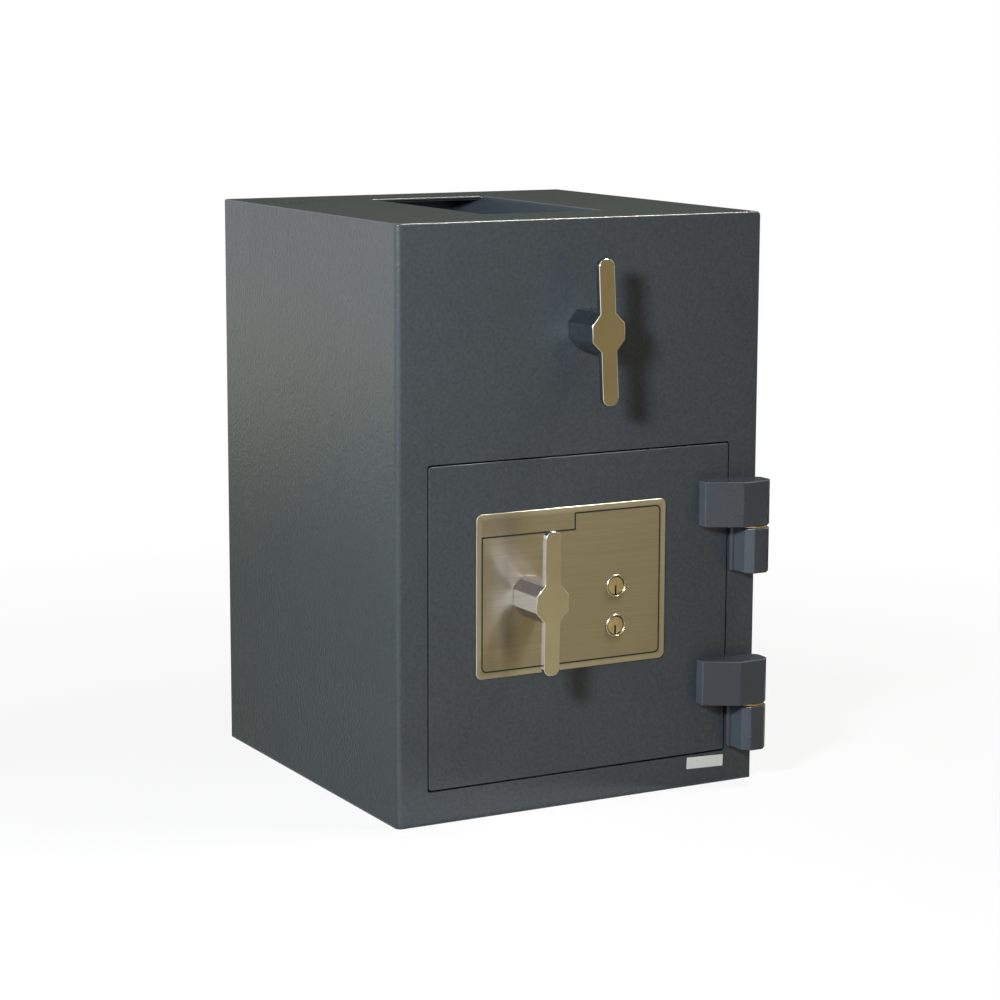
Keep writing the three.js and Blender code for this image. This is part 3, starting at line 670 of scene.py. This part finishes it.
def makeShell():
    left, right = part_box("left_side_plate")[0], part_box("right_side_plate")[1]
    front, back = left.y, right.y
    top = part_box("top_plate")[1].z
    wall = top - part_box("top_plate")[0].z
    piece = addBlock("welded_shell", (left.x, front, 0), (right.x, back, top))

    def frontLeft(a, b):
        return runsAlong("z")(a, b) and max(a.x, a.y) < 0

    def topRight(a, b):
        return runsAlong("y")(a, b) and min(a.x, a.z) > 0

    roundEdges(piece, topRight, shell["topRightRound"], shell["edgeSteps"])
    roundEdges(piece, frontLeft, shell["frontLeftRound"], shell["edgeSteps"])
    mesh = openMesh(piece)
    for edge in mesh.edges:
        sharp = edge.calc_face_angle(0) > math.radians(45)
        edge.select_set(sharp and max(vertex.co.z for vertex in edge.verts) > 1e-6)
    bmesh.update_edit_mesh(piece.data)
    bpy.ops.mesh.bevel(offset=shell["edgeRound"], segments=4, affect="EDGES")
    closeMesh(piece)
    cavity = addBlock(
        "cavity",
        (left.x + wall, front + wall, -wall),
        (right.x - wall, back - wall, top - wall),
    )
    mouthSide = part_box("guide_plate_right")[0].x
    mouthReach = shell["mouthLength"] / 2
    mouthMiddle = (front + back) / 2 + shell["mouthShift"]
    mouth = addBlock(
        "mouth",
        (-mouthSide, mouthMiddle - mouthReach, top - 2 * wall),
        (mouthSide, mouthMiddle + mouthReach, top + wall),
    )
    roundEdges(mouth, runsAlong("z"), shell["mouthCorner"], 5)
    sideLeft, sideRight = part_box("left_jamb")[1].x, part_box("right_jamb")[0].x
    floorLine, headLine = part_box("door_sill")[1].z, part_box("front_panel")[0].z
    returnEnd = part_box("left_jamb")[1].y
    doorway = addBlock(
        "doorway", (sideLeft, front - wall, floorLine), (sideRight, front + 2 * wall, headLine)
    )
    returns = addBlock(
        "returns",
        (sideLeft - wall, front + wall / 2, floorLine - wall),
        (sideRight + wall, returnEnd, headLine + wall),
    )
    inside = addBlock(
        "inside", (sideLeft, front - wall, floorLine), (sideRight, returnEnd + wall, headLine)
    )
    for opening in (doorway, inside):
        roundEdges(opening, runsAlong("y"), shell["doorwayCorner"], 5)
    carve(returns, inside)
    mouthBack = mouthMiddle + mouthReach
    lipStep = addBlock(  # thins the lip under the mouth's far edge
        "lip_step",
        (-mouthSide, mouthBack - wall, top - 2 * wall),
        (mouthSide, mouthBack + shell["lipReach"], top - shell["lipThickness"]),
    )
    hopperAxis = Vector(joints["hopper_turn"]["pos_m"])
    holeCentre = hopperAxis.x, front, hopperAxis.z
    shaftHole = addRod("shaft_hole", holeCentre, shell["shaftHole"], 4 * wall)
    carve(piece, cavity, mouth, lipStep, doorway)

    def mouthRim(a, b):
        onTop = min(a.z, b.z) > top - 1e-6
        across = max(abs(a.x), abs(b.x)) < mouthSide + 1e-5
        away = max(abs(a.y - mouthMiddle), abs(b.y - mouthMiddle))
        return onTop and across and away < mouthReach + 1e-5

    cleanFlats(piece)
    roundEdges(piece, mouthRim, shell["mouthRim"], 3)
    weld(piece, returns)
    carve(piece, shaftHole)
    cleanFlats(piece)
    soften(piece, shell["softEdge"], 2, 40)
    welded = (
        "left_side_plate", "right_side_plate", "top_plate", "back_plate",
        "front_panel", "door_sill", "left_jamb", "right_jamb",
    )
    finishPiece(piece, "safe_body", paint, "body_paint", *welded)

    def inMouth(centre, normal):  # the mouth's side walls are smooth like the guides below them
        onWall = centre.z > top - wall and abs(abs(centre.x) - mouthSide) < 1e-4
        return onWall and abs(centre.y - mouthMiddle) < mouthReach

    repaint(piece, innerPaint, inMouth)
    return piece


makeShell()
print("shell made")

places = "upper", "lower"
weldBead = {"radius": 0.0029, "inset": 0.0012, "lift": 0.0029, "endRound": 0.0009}


def makeWeldBeads():
    for place in places:
        low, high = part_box("hinge_body_block_" + place)
        centre = (low.x + weldBead["inset"], high.y - weldBead["lift"], (low.z + high.z) / 2)
        bead = addRod("weld_bead_" + place, centre, weldBead["radius"], high.z - low.z, "z", 24)
        soften(bead, weldBead["endRound"], 3)
        finishPiece(bead, "safe_body", blockPaint, "hinge_paint")


makeWeldBeads()

# Plates and blocks that keep their solid's shape get softened edges and a finish of their own


def finishNodes(nodes, width, finish, steps=2, sharpest=32):
    pieces = []
    for node in nodes:
        piece = softCopy(node, width, steps, sharpest)
        pieces.append(finishPiece(piece, bodyOf(node), finish, slotOf(node), node))
    return pieces


softEdges = {
    "thickPlate": 0.0006,
    "guide": 0.0003,
    "scoop": 0.0004,
    "hingeBlock": 0.0010,
    "bush": 0.0003,
    "boltWork": 0.0004,
    "liveBolt": 0.0003,
}


# Painted highlight: the faces picked here get the lighter hinge paint.
def paintedHighlightFaces(centre, normal):  # the left flanks and the front edges of the tops
    return (normal.x < -0.5 and normal.y < 0.2) or (0.3 < normal.z < 0.95 and normal.y < -0.2)


finishNodes(["bottom_plate"], softEdges["thickPlate"], paint)
finishNodes(["guide_plate_left", "guide_plate_right"], softEdges["guide"], innerPaint)
scoopNodes = ["scoop_disc_front", "scoop_disc_rear", "scoop_shell"]
finishNodes(scoopNodes, softEdges["scoop"], innerPaint)
finishNodes(["rear_bearing_block"], softEdges["thickPlate"], innerPaint)
hingeKinds = "hinge_door_block_", "hinge_body_block_"
hingeNodes = [kind + place for kind in hingeKinds for place in places]
for block in finishNodes(hingeNodes, softEdges["hingeBlock"], blockPaint, 3, 25):
    repaint(block, paintedHighlightPaint, paintedHighlightFaces)
brassNodes = ["hinge_washer_upper", "hinge_washer_lower", "front_bush", "rear_bush"]
finishNodes(brassNodes, softEdges["bush"], brass)
platedNodes = ["bolt_guide_rail", "dead_bar", "bolt_carriage_plate", "stop_sector", "cam_disc"]
finishNodes(platedNodes, softEdges["boltWork"], zinc)
finishNodes(["live_bolt_upper", "live_bolt_lower"], softEdges["liveBolt"], zinc)
print("plates and blocks made")

# Door

doorSizes = {
    "corner": 0.0025,
    "softEdge": 0.0013,
    "spindleHole": 0.0073,
    "lockHole": 0.0098,
    "holeLength": 0.026,
}


def boreHoles(piece, low, high):  # for the spindle and the two locks
    for joint in ("door_handle_turn", "upper_key_turn", "lower_key_turn"):
        spot = Vector(joints[joint]["pos_m"])
        spot.y = (low.y + high.y) / 2
        radius = doorSizes["spindleHole" if joint == "door_handle_turn" else "lockHole"]
        carve(piece, addRod("hole", spot, radius, doorSizes["holeLength"]))


def makeDoor():
    low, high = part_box("door_plate")
    piece = addBlock("door_slab", low, high)
    roundEdges(piece, runsAlong("y"), doorSizes["corner"], 5)
    boreHoles(piece, low, high)
    cleanFlats(piece)
    soften(piece, doorSizes["softEdge"], 3)
    return finishPiece(piece, "door", paint, "body_paint", "door_plate")


makeDoor()

escutcheon = {
    "corner": 0.0055,
    "softEdge": 0.0005,
    "lineLeft": 0.0047,
    "lineRight": 0.0053,
    "lineTop": 0.0052,
    "lineBottom": 0.0052,
    "notchWidth": 0.0901,
    "notchHeight": 0.0141,
    "lineCorner": 0.005,
    "lineWidth": 0.0014,
    "lineThickness": 0.00004,
}


def makeEscutcheon():
    low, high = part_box("escutcheon_plate")
    piece = addBlock("brushed_escutcheon", low, high)
    roundEdges(piece, runsAlong("y"), escutcheon["corner"], 7)
    boreHoles(piece, low, high)
    cleanFlats(piece)
    soften(piece, escutcheon["softEdge"], 2)
    return finishPiece(piece, "door", steel, "brushed_steel", "escutcheon_plate")


def makeInkLine():
    low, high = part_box("escutcheon_plate")
    left, right = low.x + escutcheon["lineLeft"], high.x - escutcheon["lineRight"]
    bottom, top = low.z + escutcheon["lineBottom"], high.z - escutcheon["lineTop"]
    deselectAll()
    front = low.y - escutcheon["lineThickness"]
    middle = Vector(((left + right) / 2, front, (bottom + top) / 2))
    bpy.ops.mesh.primitive_plane_add(size=1, location=middle, rotation=turnsTo["y"])
    piece = newest("escutcheon_line")
    openMesh(piece)
    bpy.ops.mesh.select_all(action="SELECT")
    bpy.ops.transform.resize(value=(right - left, 1, top - bottom), center_override=middle)
    closeMesh(piece)
    notchX, notchZ = left + escutcheon["notchWidth"], top - escutcheon["notchHeight"]
    for point, normal in (((notchX, 0, 0), (1, 0, 0)), ((0, 0, notchZ), (0, 0, 1))):
        openMesh(piece)
        bpy.ops.mesh.select_all(action="SELECT")
        bpy.ops.mesh.bisect(plane_co=point, plane_no=normal)
        closeMesh(piece)
    selectFaces(piece, lambda centre, normal: centre.x < notchX and centre.z > notchZ)
    bpy.ops.mesh.delete(type="FACE")
    closeMesh(piece)
    cleanFlats(piece)
    mesh = openMesh(piece, "VERT")
    for vertex in mesh.verts:
        atNotch = abs(vertex.co.z - notchZ) < 1e-5 or abs(vertex.co.x - notchX) < 1e-5
        vertex.select_set(not atNotch)
    bmesh.update_edit_mesh(piece.data)
    bpy.ops.mesh.bevel(offset=escutcheon["lineCorner"], segments=6, affect="VERTICES")
    closeMesh(piece)
    selectFaces(piece, lambda centre, normal: True)
    bpy.ops.mesh.inset(thickness=escutcheon["lineWidth"])
    bpy.ops.mesh.delete(type="FACE")
    closeMesh(piece)
    applied(piece, "SOLIDIFY", thickness=escutcheon["lineThickness"], offset=-1)
    openMesh(piece)
    bpy.ops.mesh.select_all(action="SELECT")
    bpy.ops.mesh.normals_make_consistent(inside=False)
    closeMesh(piece)
    return finishPiece(piece, "door", ink, "body_paint")


makeEscutcheon()
makeInkLine()
print("door and escutcheon made")

# Handles

handleSizes = {
    "across": 0.0315,
    "stretch": 1.08,
    "barLength": 0.1232,
    "barWidth": 0.015,
    "barThickness": 0.0056,
    "endRound": 0.0064,
    "rim": 0.0007,
    "sideEdge": 0.0005,
    "boreDepth": 0.025,
    "screwHole": 0.0033,
    "screwInset": 0.012,
}

# The flank and facet tones are painted reflections: chrome tones for the bar's flanks and the stem, and for the
# stem's upper left, that stand for the studio's light there.
handles = {
    "hopper_handle": {
        "name": "hopper_handle_chromed",
        "body": "hopper",
        "joint": "hopper_turn",
        "lean": -2.7,
        "bore": 0.0083,
        "finish": "hopper_chrome",
        "flankReflectionTone": rgb(0.40, 0.48, 0.52),
        "facetReflectionTone": rgb(0.36, 0.40, 0.44),
    },
    "door_handle": {
        "name": "door_handle_chromed",
        "body": "door_handle_works",
        "joint": "door_handle_turn",
        "lean": 0.6,
        "bore": 0.0073,
        "finish": "door_chrome",
        "flankReflectionTone": rgb(0.85, 0.84, 0.96),
        "facetReflectionTone": rgb(0.47, 0.46, 0.50),
    },
}


def makeHandle(node):
    look, own = handleSizes, handles[node]
    low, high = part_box(node)
    foot, face = high.y, low.y
    spot = Vector(joints[own["joint"]]["pos_m"])
    deselectAll()
    bpy.ops.mesh.primitive_cylinder_add(
        vertices=8,
        radius=look["across"] / 2 / math.cos(math.pi / 8),
        depth=foot - face,
        location=(spot.x, (foot + face) / 2, spot.z),
        rotation=(math.pi / 2, math.pi / 8, 0),
    )
    piece = newest(own["name"])
    openMesh(piece)
    bpy.ops.mesh.select_all(action="SELECT")
    bpy.ops.transform.resize(value=(1, 1, look["stretch"]), center_override=spot)
    closeMesh(piece)
    half, reach = look["barWidth"] / 2, look["barLength"] / 2
    bar = addBlock(
        "bar",
        (spot.x - half, face, spot.z - reach),
        (spot.x + half, face + look["barThickness"], spot.z + reach),
    )
    roundEdges(bar, runsAlong("y"), look["endRound"], 7)
    for part in (piece, bar):  # both faces on one plane, so the union leaves no seam
        selectFaces(part, lambda centre, normal: abs(centre.y - face) < 1e-4 and normal.y < -0.9)
        bpy.ops.transform.resize(value=(1, 0, 1), center_override=(0, face, 0))
        closeMesh(part)
    weld(piece, bar)
    carve(piece, addRod("bore", (spot.x, foot, spot.z), own["bore"], 2 * look["boreDepth"]))
    reachOut = look["across"]
    holeCentre = spot.x + reachOut / 2, foot - look["screwInset"], spot.z
    carve(piece, addRod("screw_hole", holeCentre, look["screwHole"], reachOut, "x", 24))
    cleanFlats(piece)
    roundEdges(piece, lambda a, b: max(a.y, b.y) < face + 1e-5, look["rim"], 4)
    soften(piece, look["sideEdge"], 2, 35)
    turn = Matrix.Rotation(math.radians(own["lean"]), 4, "Y")
    takeUp(piece)
    piece.matrix_world = Matrix.Translation(spot) @ turn @ Matrix.Translation(-spot)
    settle(piece)
    finish = chromePlate(own["finish"], node, own["joint"], own["flankReflectionTone"], own["facetReflectionTone"])
    return finishPiece(piece, own["body"], finish, "chrome", node)


for handle in handles:
    makeHandle(handle)
print("handles made")

# Locks

lockSizes = {
    "bore": 0.0079,
    "barrel": 0.0095,
    "rim": 0.0101,
    "rimThickness": 0.0009,
    "bevel": 0.0005,
    "recess": 0.0020,
    "dish": 0.0009,
    "softEdge": 0.00015,
    "plugEdge": 0.00025,
}


def makeLock(place):
    look = lockSizes
    spot = Vector(joints[place + "_key_turn"]["pos_m"])
    barrelNode, plugNode = "lock_barrel_" + place, "key_plug_" + place
    front, back = (corner.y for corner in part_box(barrelNode))
    centre = (spot.x, 0, spot.z)
    profile = [
        (look["bore"] + look["dish"], front),
        (look["rim"] - look["bevel"], front),
        (look["rim"], front + look["bevel"]),
        (look["rim"], front + look["rimThickness"]),
        (look["barrel"], front + look["rimThickness"]),
        (look["barrel"], back),
        (look["bore"], back),
        (look["bore"], front + look["recess"]),
        (look["bore"] + look["dish"], front),
    ]
    barrel = soften(turned("lock_barrel_turned_" + place, centre, profile), look["softEdge"])
    finishPiece(barrel, "door", satinChrome, "chrome", barrelNode)
    core = softCopy(plugNode, look["plugEdge"], name="key_plug_cut_" + place)
    finishPiece(core, bodyOf(plugNode), plugBrass, "brass", plugNode)


for place in places:
    makeLock(place)
print("locks made")

# Label, left blank

labelSizes = {
    "size": (0.038, 0.0003, 0.0104),
    "corner": 0.0006,
    "softEdge": 0.00005,
    "tilt": 2.1,
}


def makeLabel():
    low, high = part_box("blank_label")
    middle = (low + high) / 2
    half = Vector(labelSizes["size"]) / 2
    piece = addBlock("blank_sticker", middle - half, middle + half)
    roundEdges(piece, runsAlong("y"), labelSizes["corner"], 3)
    soften(piece, labelSizes["softEdge"], 1)
    turn = Matrix.Rotation(math.radians(labelSizes["tilt"]), 4, "Y")
    piece.matrix_world = Matrix.Translation(middle) @ turn @ Matrix.Translation(-middle)
    return finishPiece(piece, "safe_body", paper, "label_stock", "blank_label")


makeLabel()

# Cover of the bolt work and its screws

coverSizes = {
    "softEdge": 0.0012,
    "screwCross": 0.0007,
    "crossReach": 0.0042,
    "crossDepth": 0.0012,
}


def makeCoverScrews():
    for node in frame["nodes"]:
        if not node.startswith("cover_screw"):
            continue
        low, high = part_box(node)
        piece = softCopy(node, 0, name=node + "_slotted")
        middle = (low + high) / 2
        for across, along in (("x", "z"), ("z", "x")):
            reach = {across: coverSizes["screwCross"], along: coverSizes["crossReach"], "y": 0}
            half = Vector((reach["x"] / 2, coverSizes["crossDepth"], reach["z"] / 2))
            spot = Vector((middle.x, high.y, middle.z))
            carve(piece, addBlock("cross", spot - half, spot + half))
        finishPiece(piece, "door", zinc, "plated_steel", node)


finishNodes(["inner_cover"], coverSizes["softEdge"], innerPaint, 3, 60)
makeCoverScrews()
print("label, cover and screws made")

# Nodes that keep their own mesh get a finish


def dressNodes():
    finishes = {"plated_steel": zinc, "brass": brass, "chrome": chrome, "body_paint": paint}
    for name, node in frame["nodes"].items():
        if node.hide_render:
            continue
        finish = finishes[slotOf(name)]
        if node.material_slots:
            node.material_slots[0].material = finish
        else:
            node.data.materials.append(finish)


dressNodes()

# Stage: a pale floor, the studio's light and the camera

stage = {
    "floorSize": 16,
    "floorTone": rgb(0.86, 0.86, 0.86),
    "bounceTone": rgb(0.42, 0.42, 0.42),
    "clearFrom": 0.45,
    "clearOver": 0.7,
    "shadowShare": 0.14,
    "worldFill": 0.03,
    "fillTone": rgb(1.0, 0.98, 0.93),
    "sideTone": rgb(0.30, 0.33, 0.28),
    "awayTone": rgb(1.04, 1.10, 0.84),
    "nearTone": rgb(0.366, 0.316, 0.182),
    "farTone": rgb(0.246, 0.190, 0.0915),
    "frontSight": (0.475, 0.864),  # where a flat front sends the camera's sight
}


def seenShare(tree):  # 1 for camera, glossy and transmission rays
    path = tree.nodes.new("ShaderNodeLightPath")
    seen = "Is Camera Ray", "Is Glossy Ray", "Is Transmission Ray"
    camera, glossy, transmission = (Wire(tree, path.outputs[name]) for name in seen)
    return (camera + glossy + transmission).math("MINIMUM", 1)


def mixedShaders(tree, share, first, second):
    mix = tree.nodes.new("ShaderNodeMixShader")
    plug(tree, mix.inputs[0], share)
    tree.links.new(first, mix.inputs[1])
    tree.links.new(second, mix.inputs[2])
    return mix.outputs[0]


def makeWorld():
    world = bpy.data.worlds.new("studio")
    bpy.context.scene.world = world
    world.use_nodes = True
    tree = world.node_tree
    fill = tree.nodes["Background"]
    fill.inputs["Color"].default_value = stage["fillTone"]
    fill.inputs["Strength"].default_value = stage["worldFill"]
    white = tree.nodes.new("ShaderNodeBackground")
    white.inputs["Color"].default_value = rgb(1, 1, 1)
    mixed = mixedShaders(tree, seenShare(tree), fill.outputs[0], white.outputs[0])
    tree.links.new(mixed, tree.nodes["World Output"].inputs["Surface"])


def makeFloor():
    deselectAll()
    bpy.ops.mesh.primitive_plane_add(size=stage["floorSize"])
    floor = newest("studio_floor")
    finish = Finish("pale_floor", Roughness=0.9, Specular_IOR_Level=0.1)
    tree = finish.tree
    tone = finish.blend(seenShare(tree), stage["bounceTone"], stage["floorTone"])
    finish.feed("Base Color", tone)
    away = finish.distance()
    clear = away.above(stage["clearFrom"] + stage["clearOver"] / 2, stage["clearOver"])
    clear = (1 - stage["shadowShare"]) + clear * stage["shadowShare"]
    glow = tree.nodes.new("ShaderNodeEmission")
    glow.inputs["Color"].default_value = rgb(1, 1, 1)
    share = clear * seenShare(tree)
    mixed = mixedShaders(tree, share, finish.shader.outputs[0], glow.outputs[0])
    tree.links.new(mixed, finish.output.inputs["Surface"])
    floor.data.materials.append(finish.material)


def aimed(thing, place, target):
    thing.location = place
    thing.rotation_euler = (Vector(target) - Vector(place)).to_track_quat("-Z", "Y").to_euler()


def makeLamp(name, place, target, size, power, tone):
    lamp = bpy.data.objects.new(name, bpy.data.lights.new(name, "AREA"))
    bpy.context.collection.objects.link(lamp)
    lamp.data.shape = "RECTANGLE"
    lamp.data.size, lamp.data.size_y = size
    lamp.data.energy = power
    lamp.data.color = tone
    aimed(lamp, place, target)
    return lamp


def reflectionOnly(card, glow, finish):  # the card shows in reflections and nowhere else
    finish.tree.links.new(glow.outputs[0], finish.output.inputs["Surface"])
    card.data.materials.append(finish.material)
    card.visible_camera = False
    card.visible_diffuse = False
    card.visible_shadow = False


def makeFlag(name, place, target, size, tone):
    deselectAll()
    bpy.ops.mesh.primitive_plane_add(size=1)
    card = bpy.context.active_object
    card.name = name
    card.scale = (*size, 1)
    aimed(card, place, target)
    settle(card)
    finish = Finish(name)
    glow = finish.tree.nodes.new("ShaderNodeEmission")
    glow.inputs["Color"].default_value = tone
    reflectionOnly(card, glow, finish)


def makeShade(name, place, size, turn, tones, span):
    # a warm card for polished metal; its tone runs from near the safe outwards
    deselectAll()
    bpy.ops.mesh.primitive_plane_add(size=1)
    card = bpy.context.active_object
    card.name = name
    card.scale = (*size, 1)
    card.location = place
    card.rotation_euler = turn
    settle(card)
    finish = Finish(name)
    away = finish.distance()
    glow = finish.tree.nodes.new("ShaderNodeEmission")
    start, over = span
    tone = finish.blend(away.above(start + over / 2, over), *tones)
    plug(finish.tree, glow.inputs["Color"], tone)
    reflectionOnly(card, glow, finish)


makeWorld()
makeFloor()

sideTones = stage["sideTone"], stage["awayTone"]
warmTones = stage["nearTone"], stage["farTone"]
frontTurn = math.atan2(*stage["frontSight"])
ahead = Vector((math.sin(frontTurn), -math.cos(frontTurn), 0))

cards = {
    "floor_near": {
        "place": (-0.6, 1.67, 0.001),
        "size": (3.4, 3.7),
        "turn": (0, 0, 0),
        "tones": sideTones,
        "span": (1.6, 1.3),
    },
    "floor_right": {
        "place": (1.25, 0.45, 0.003),
        "target": (1.25, 0.45, 1),
        "size": (1.5, 1.5),
        "tone": rgb(0.06, 0.06, 0.05),
    },
    "ceiling": {
        "place": (1.0, -0.5, 2.7),
        "target": (1.0, -0.5, 0),
        "size": (3.4, 3.4),
        "tone": rgb(0.12, 0.11, 0.09),
    },
    "front_flag": {
        "place": (-0.7, -3.3, 1.9),
        "target": (-0.05, -0.2, 0.2),
        "size": (2.6, 1.3),
        "tone": rgb(0.30, 0.29, 0.31),
    },
    "floor_ahead": {
        "place": ahead * 2.4 + Vector((0, 0, 0.002)),
        "size": (3.2, 4.4),
        "turn": (0, 0, frontTurn),
        "tones": warmTones,
        "span": (0.8, 1.6),
    },
    "wall_ahead": {
        "place": ahead * 3.2 + Vector((0, 0, 0.8)),
        "size": (4.0, 1.7),
        "turn": (math.pi / 2, 0, frontTurn),
        "tones": warmTones,
        "span": (0.8, 1.6),
    },
    "back_flag": {
        "place": (1.5, 2.4, 0.9),
        "target": (0, 0, 0.5),
        "size": (2.6, 1.9),
        "tone": rgb(0.085, 0.10, 0.075),
    },
}
for name, card in cards.items():
    (makeShade if "span" in card else makeFlag)(name, **card)

lamps = {
    "key_softbox": {
        "place": (-0.95, -0.90, 0.78),
        "target": (-0.1, -0.1, 0.3),
        "size": (0.18, 0.18),
        "power": 21,
        "tone": (0.93, 1.0, 0.97),
    },
    "eye_side_lamp": {
        "place": (-1.05, -1.95, 0.78),
        "target": (0, -0.1, 0.3),
        "size": (0.3, 0.3),
        "power": 1.8,
        "tone": (0.5, 0.72, 1.0),
    },
    "overhead_softbox": {
        "place": (0.95, -0.5, 2.2),
        "target": (0, 0, 0.4),
        "size": (0.75, 0.6),
        "power": 25,
        "tone": (1.0, 1.0, 0.94),
    },
    "rear_softbox": {
        "place": (1.3, 1.3, 0.28),
        "target": (0, 0.1, 0.25),
        "size": (0.9, 0.4),
        "power": 14,
        "tone": (1.0, 0.99, 0.95),
    },
    "edge_strip": {
        "place": (0.85, -0.45, 2.0),
        "target": (0, -0.1, 0.5),
        "size": (0.5, 0.3),
        "power": 34,
        "tone": (1.0, 0.9, 0.72),
    },
}
made = {name: makeLamp(name, **lamp) for name, lamp in lamps.items()}
made["rear_softbox"].visible_glossy = False
made["edge_strip"].visible_diffuse = False

view = {
    "place": (-1.18264, -2.18165, 0.6698),
    "yaw": 28.7872,
    "pitch": -9.8205,
    "roll": -0.2132,
    "lens": 99.60,
    "sensor": 36,
}


def makeCamera():
    yaw, pitch, roll = (math.radians(view[key]) for key in ("yaw", "pitch", "roll"))
    sight = Vector((0, math.cos(pitch), math.sin(pitch)))
    ahead = Vector((math.sin(yaw) * sight.y, math.cos(yaw) * sight.y, sight.z))
    level = Vector((math.cos(yaw), -math.sin(yaw), 0))
    down = ahead.cross(level)
    right = level * math.cos(roll) + down * math.sin(roll)
    lower = down * math.cos(roll) - level * math.sin(roll)
    camera = bpy.data.objects.new("camera", bpy.data.cameras.new("camera"))
    bpy.context.collection.objects.link(camera)
    camera.data.sensor_width = view["sensor"]
    camera.data.lens = view["lens"]
    camera.data.clip_end = 50
    turn = Matrix((right, -lower, -ahead)).transposed().to_4x4()
    camera.matrix_world = Matrix.Translation(view["place"]) @ turn
    bpy.context.scene.camera = camera


makeCamera()
bpy.context.scene.view_settings.view_transform = "Standard"
print("stage made")
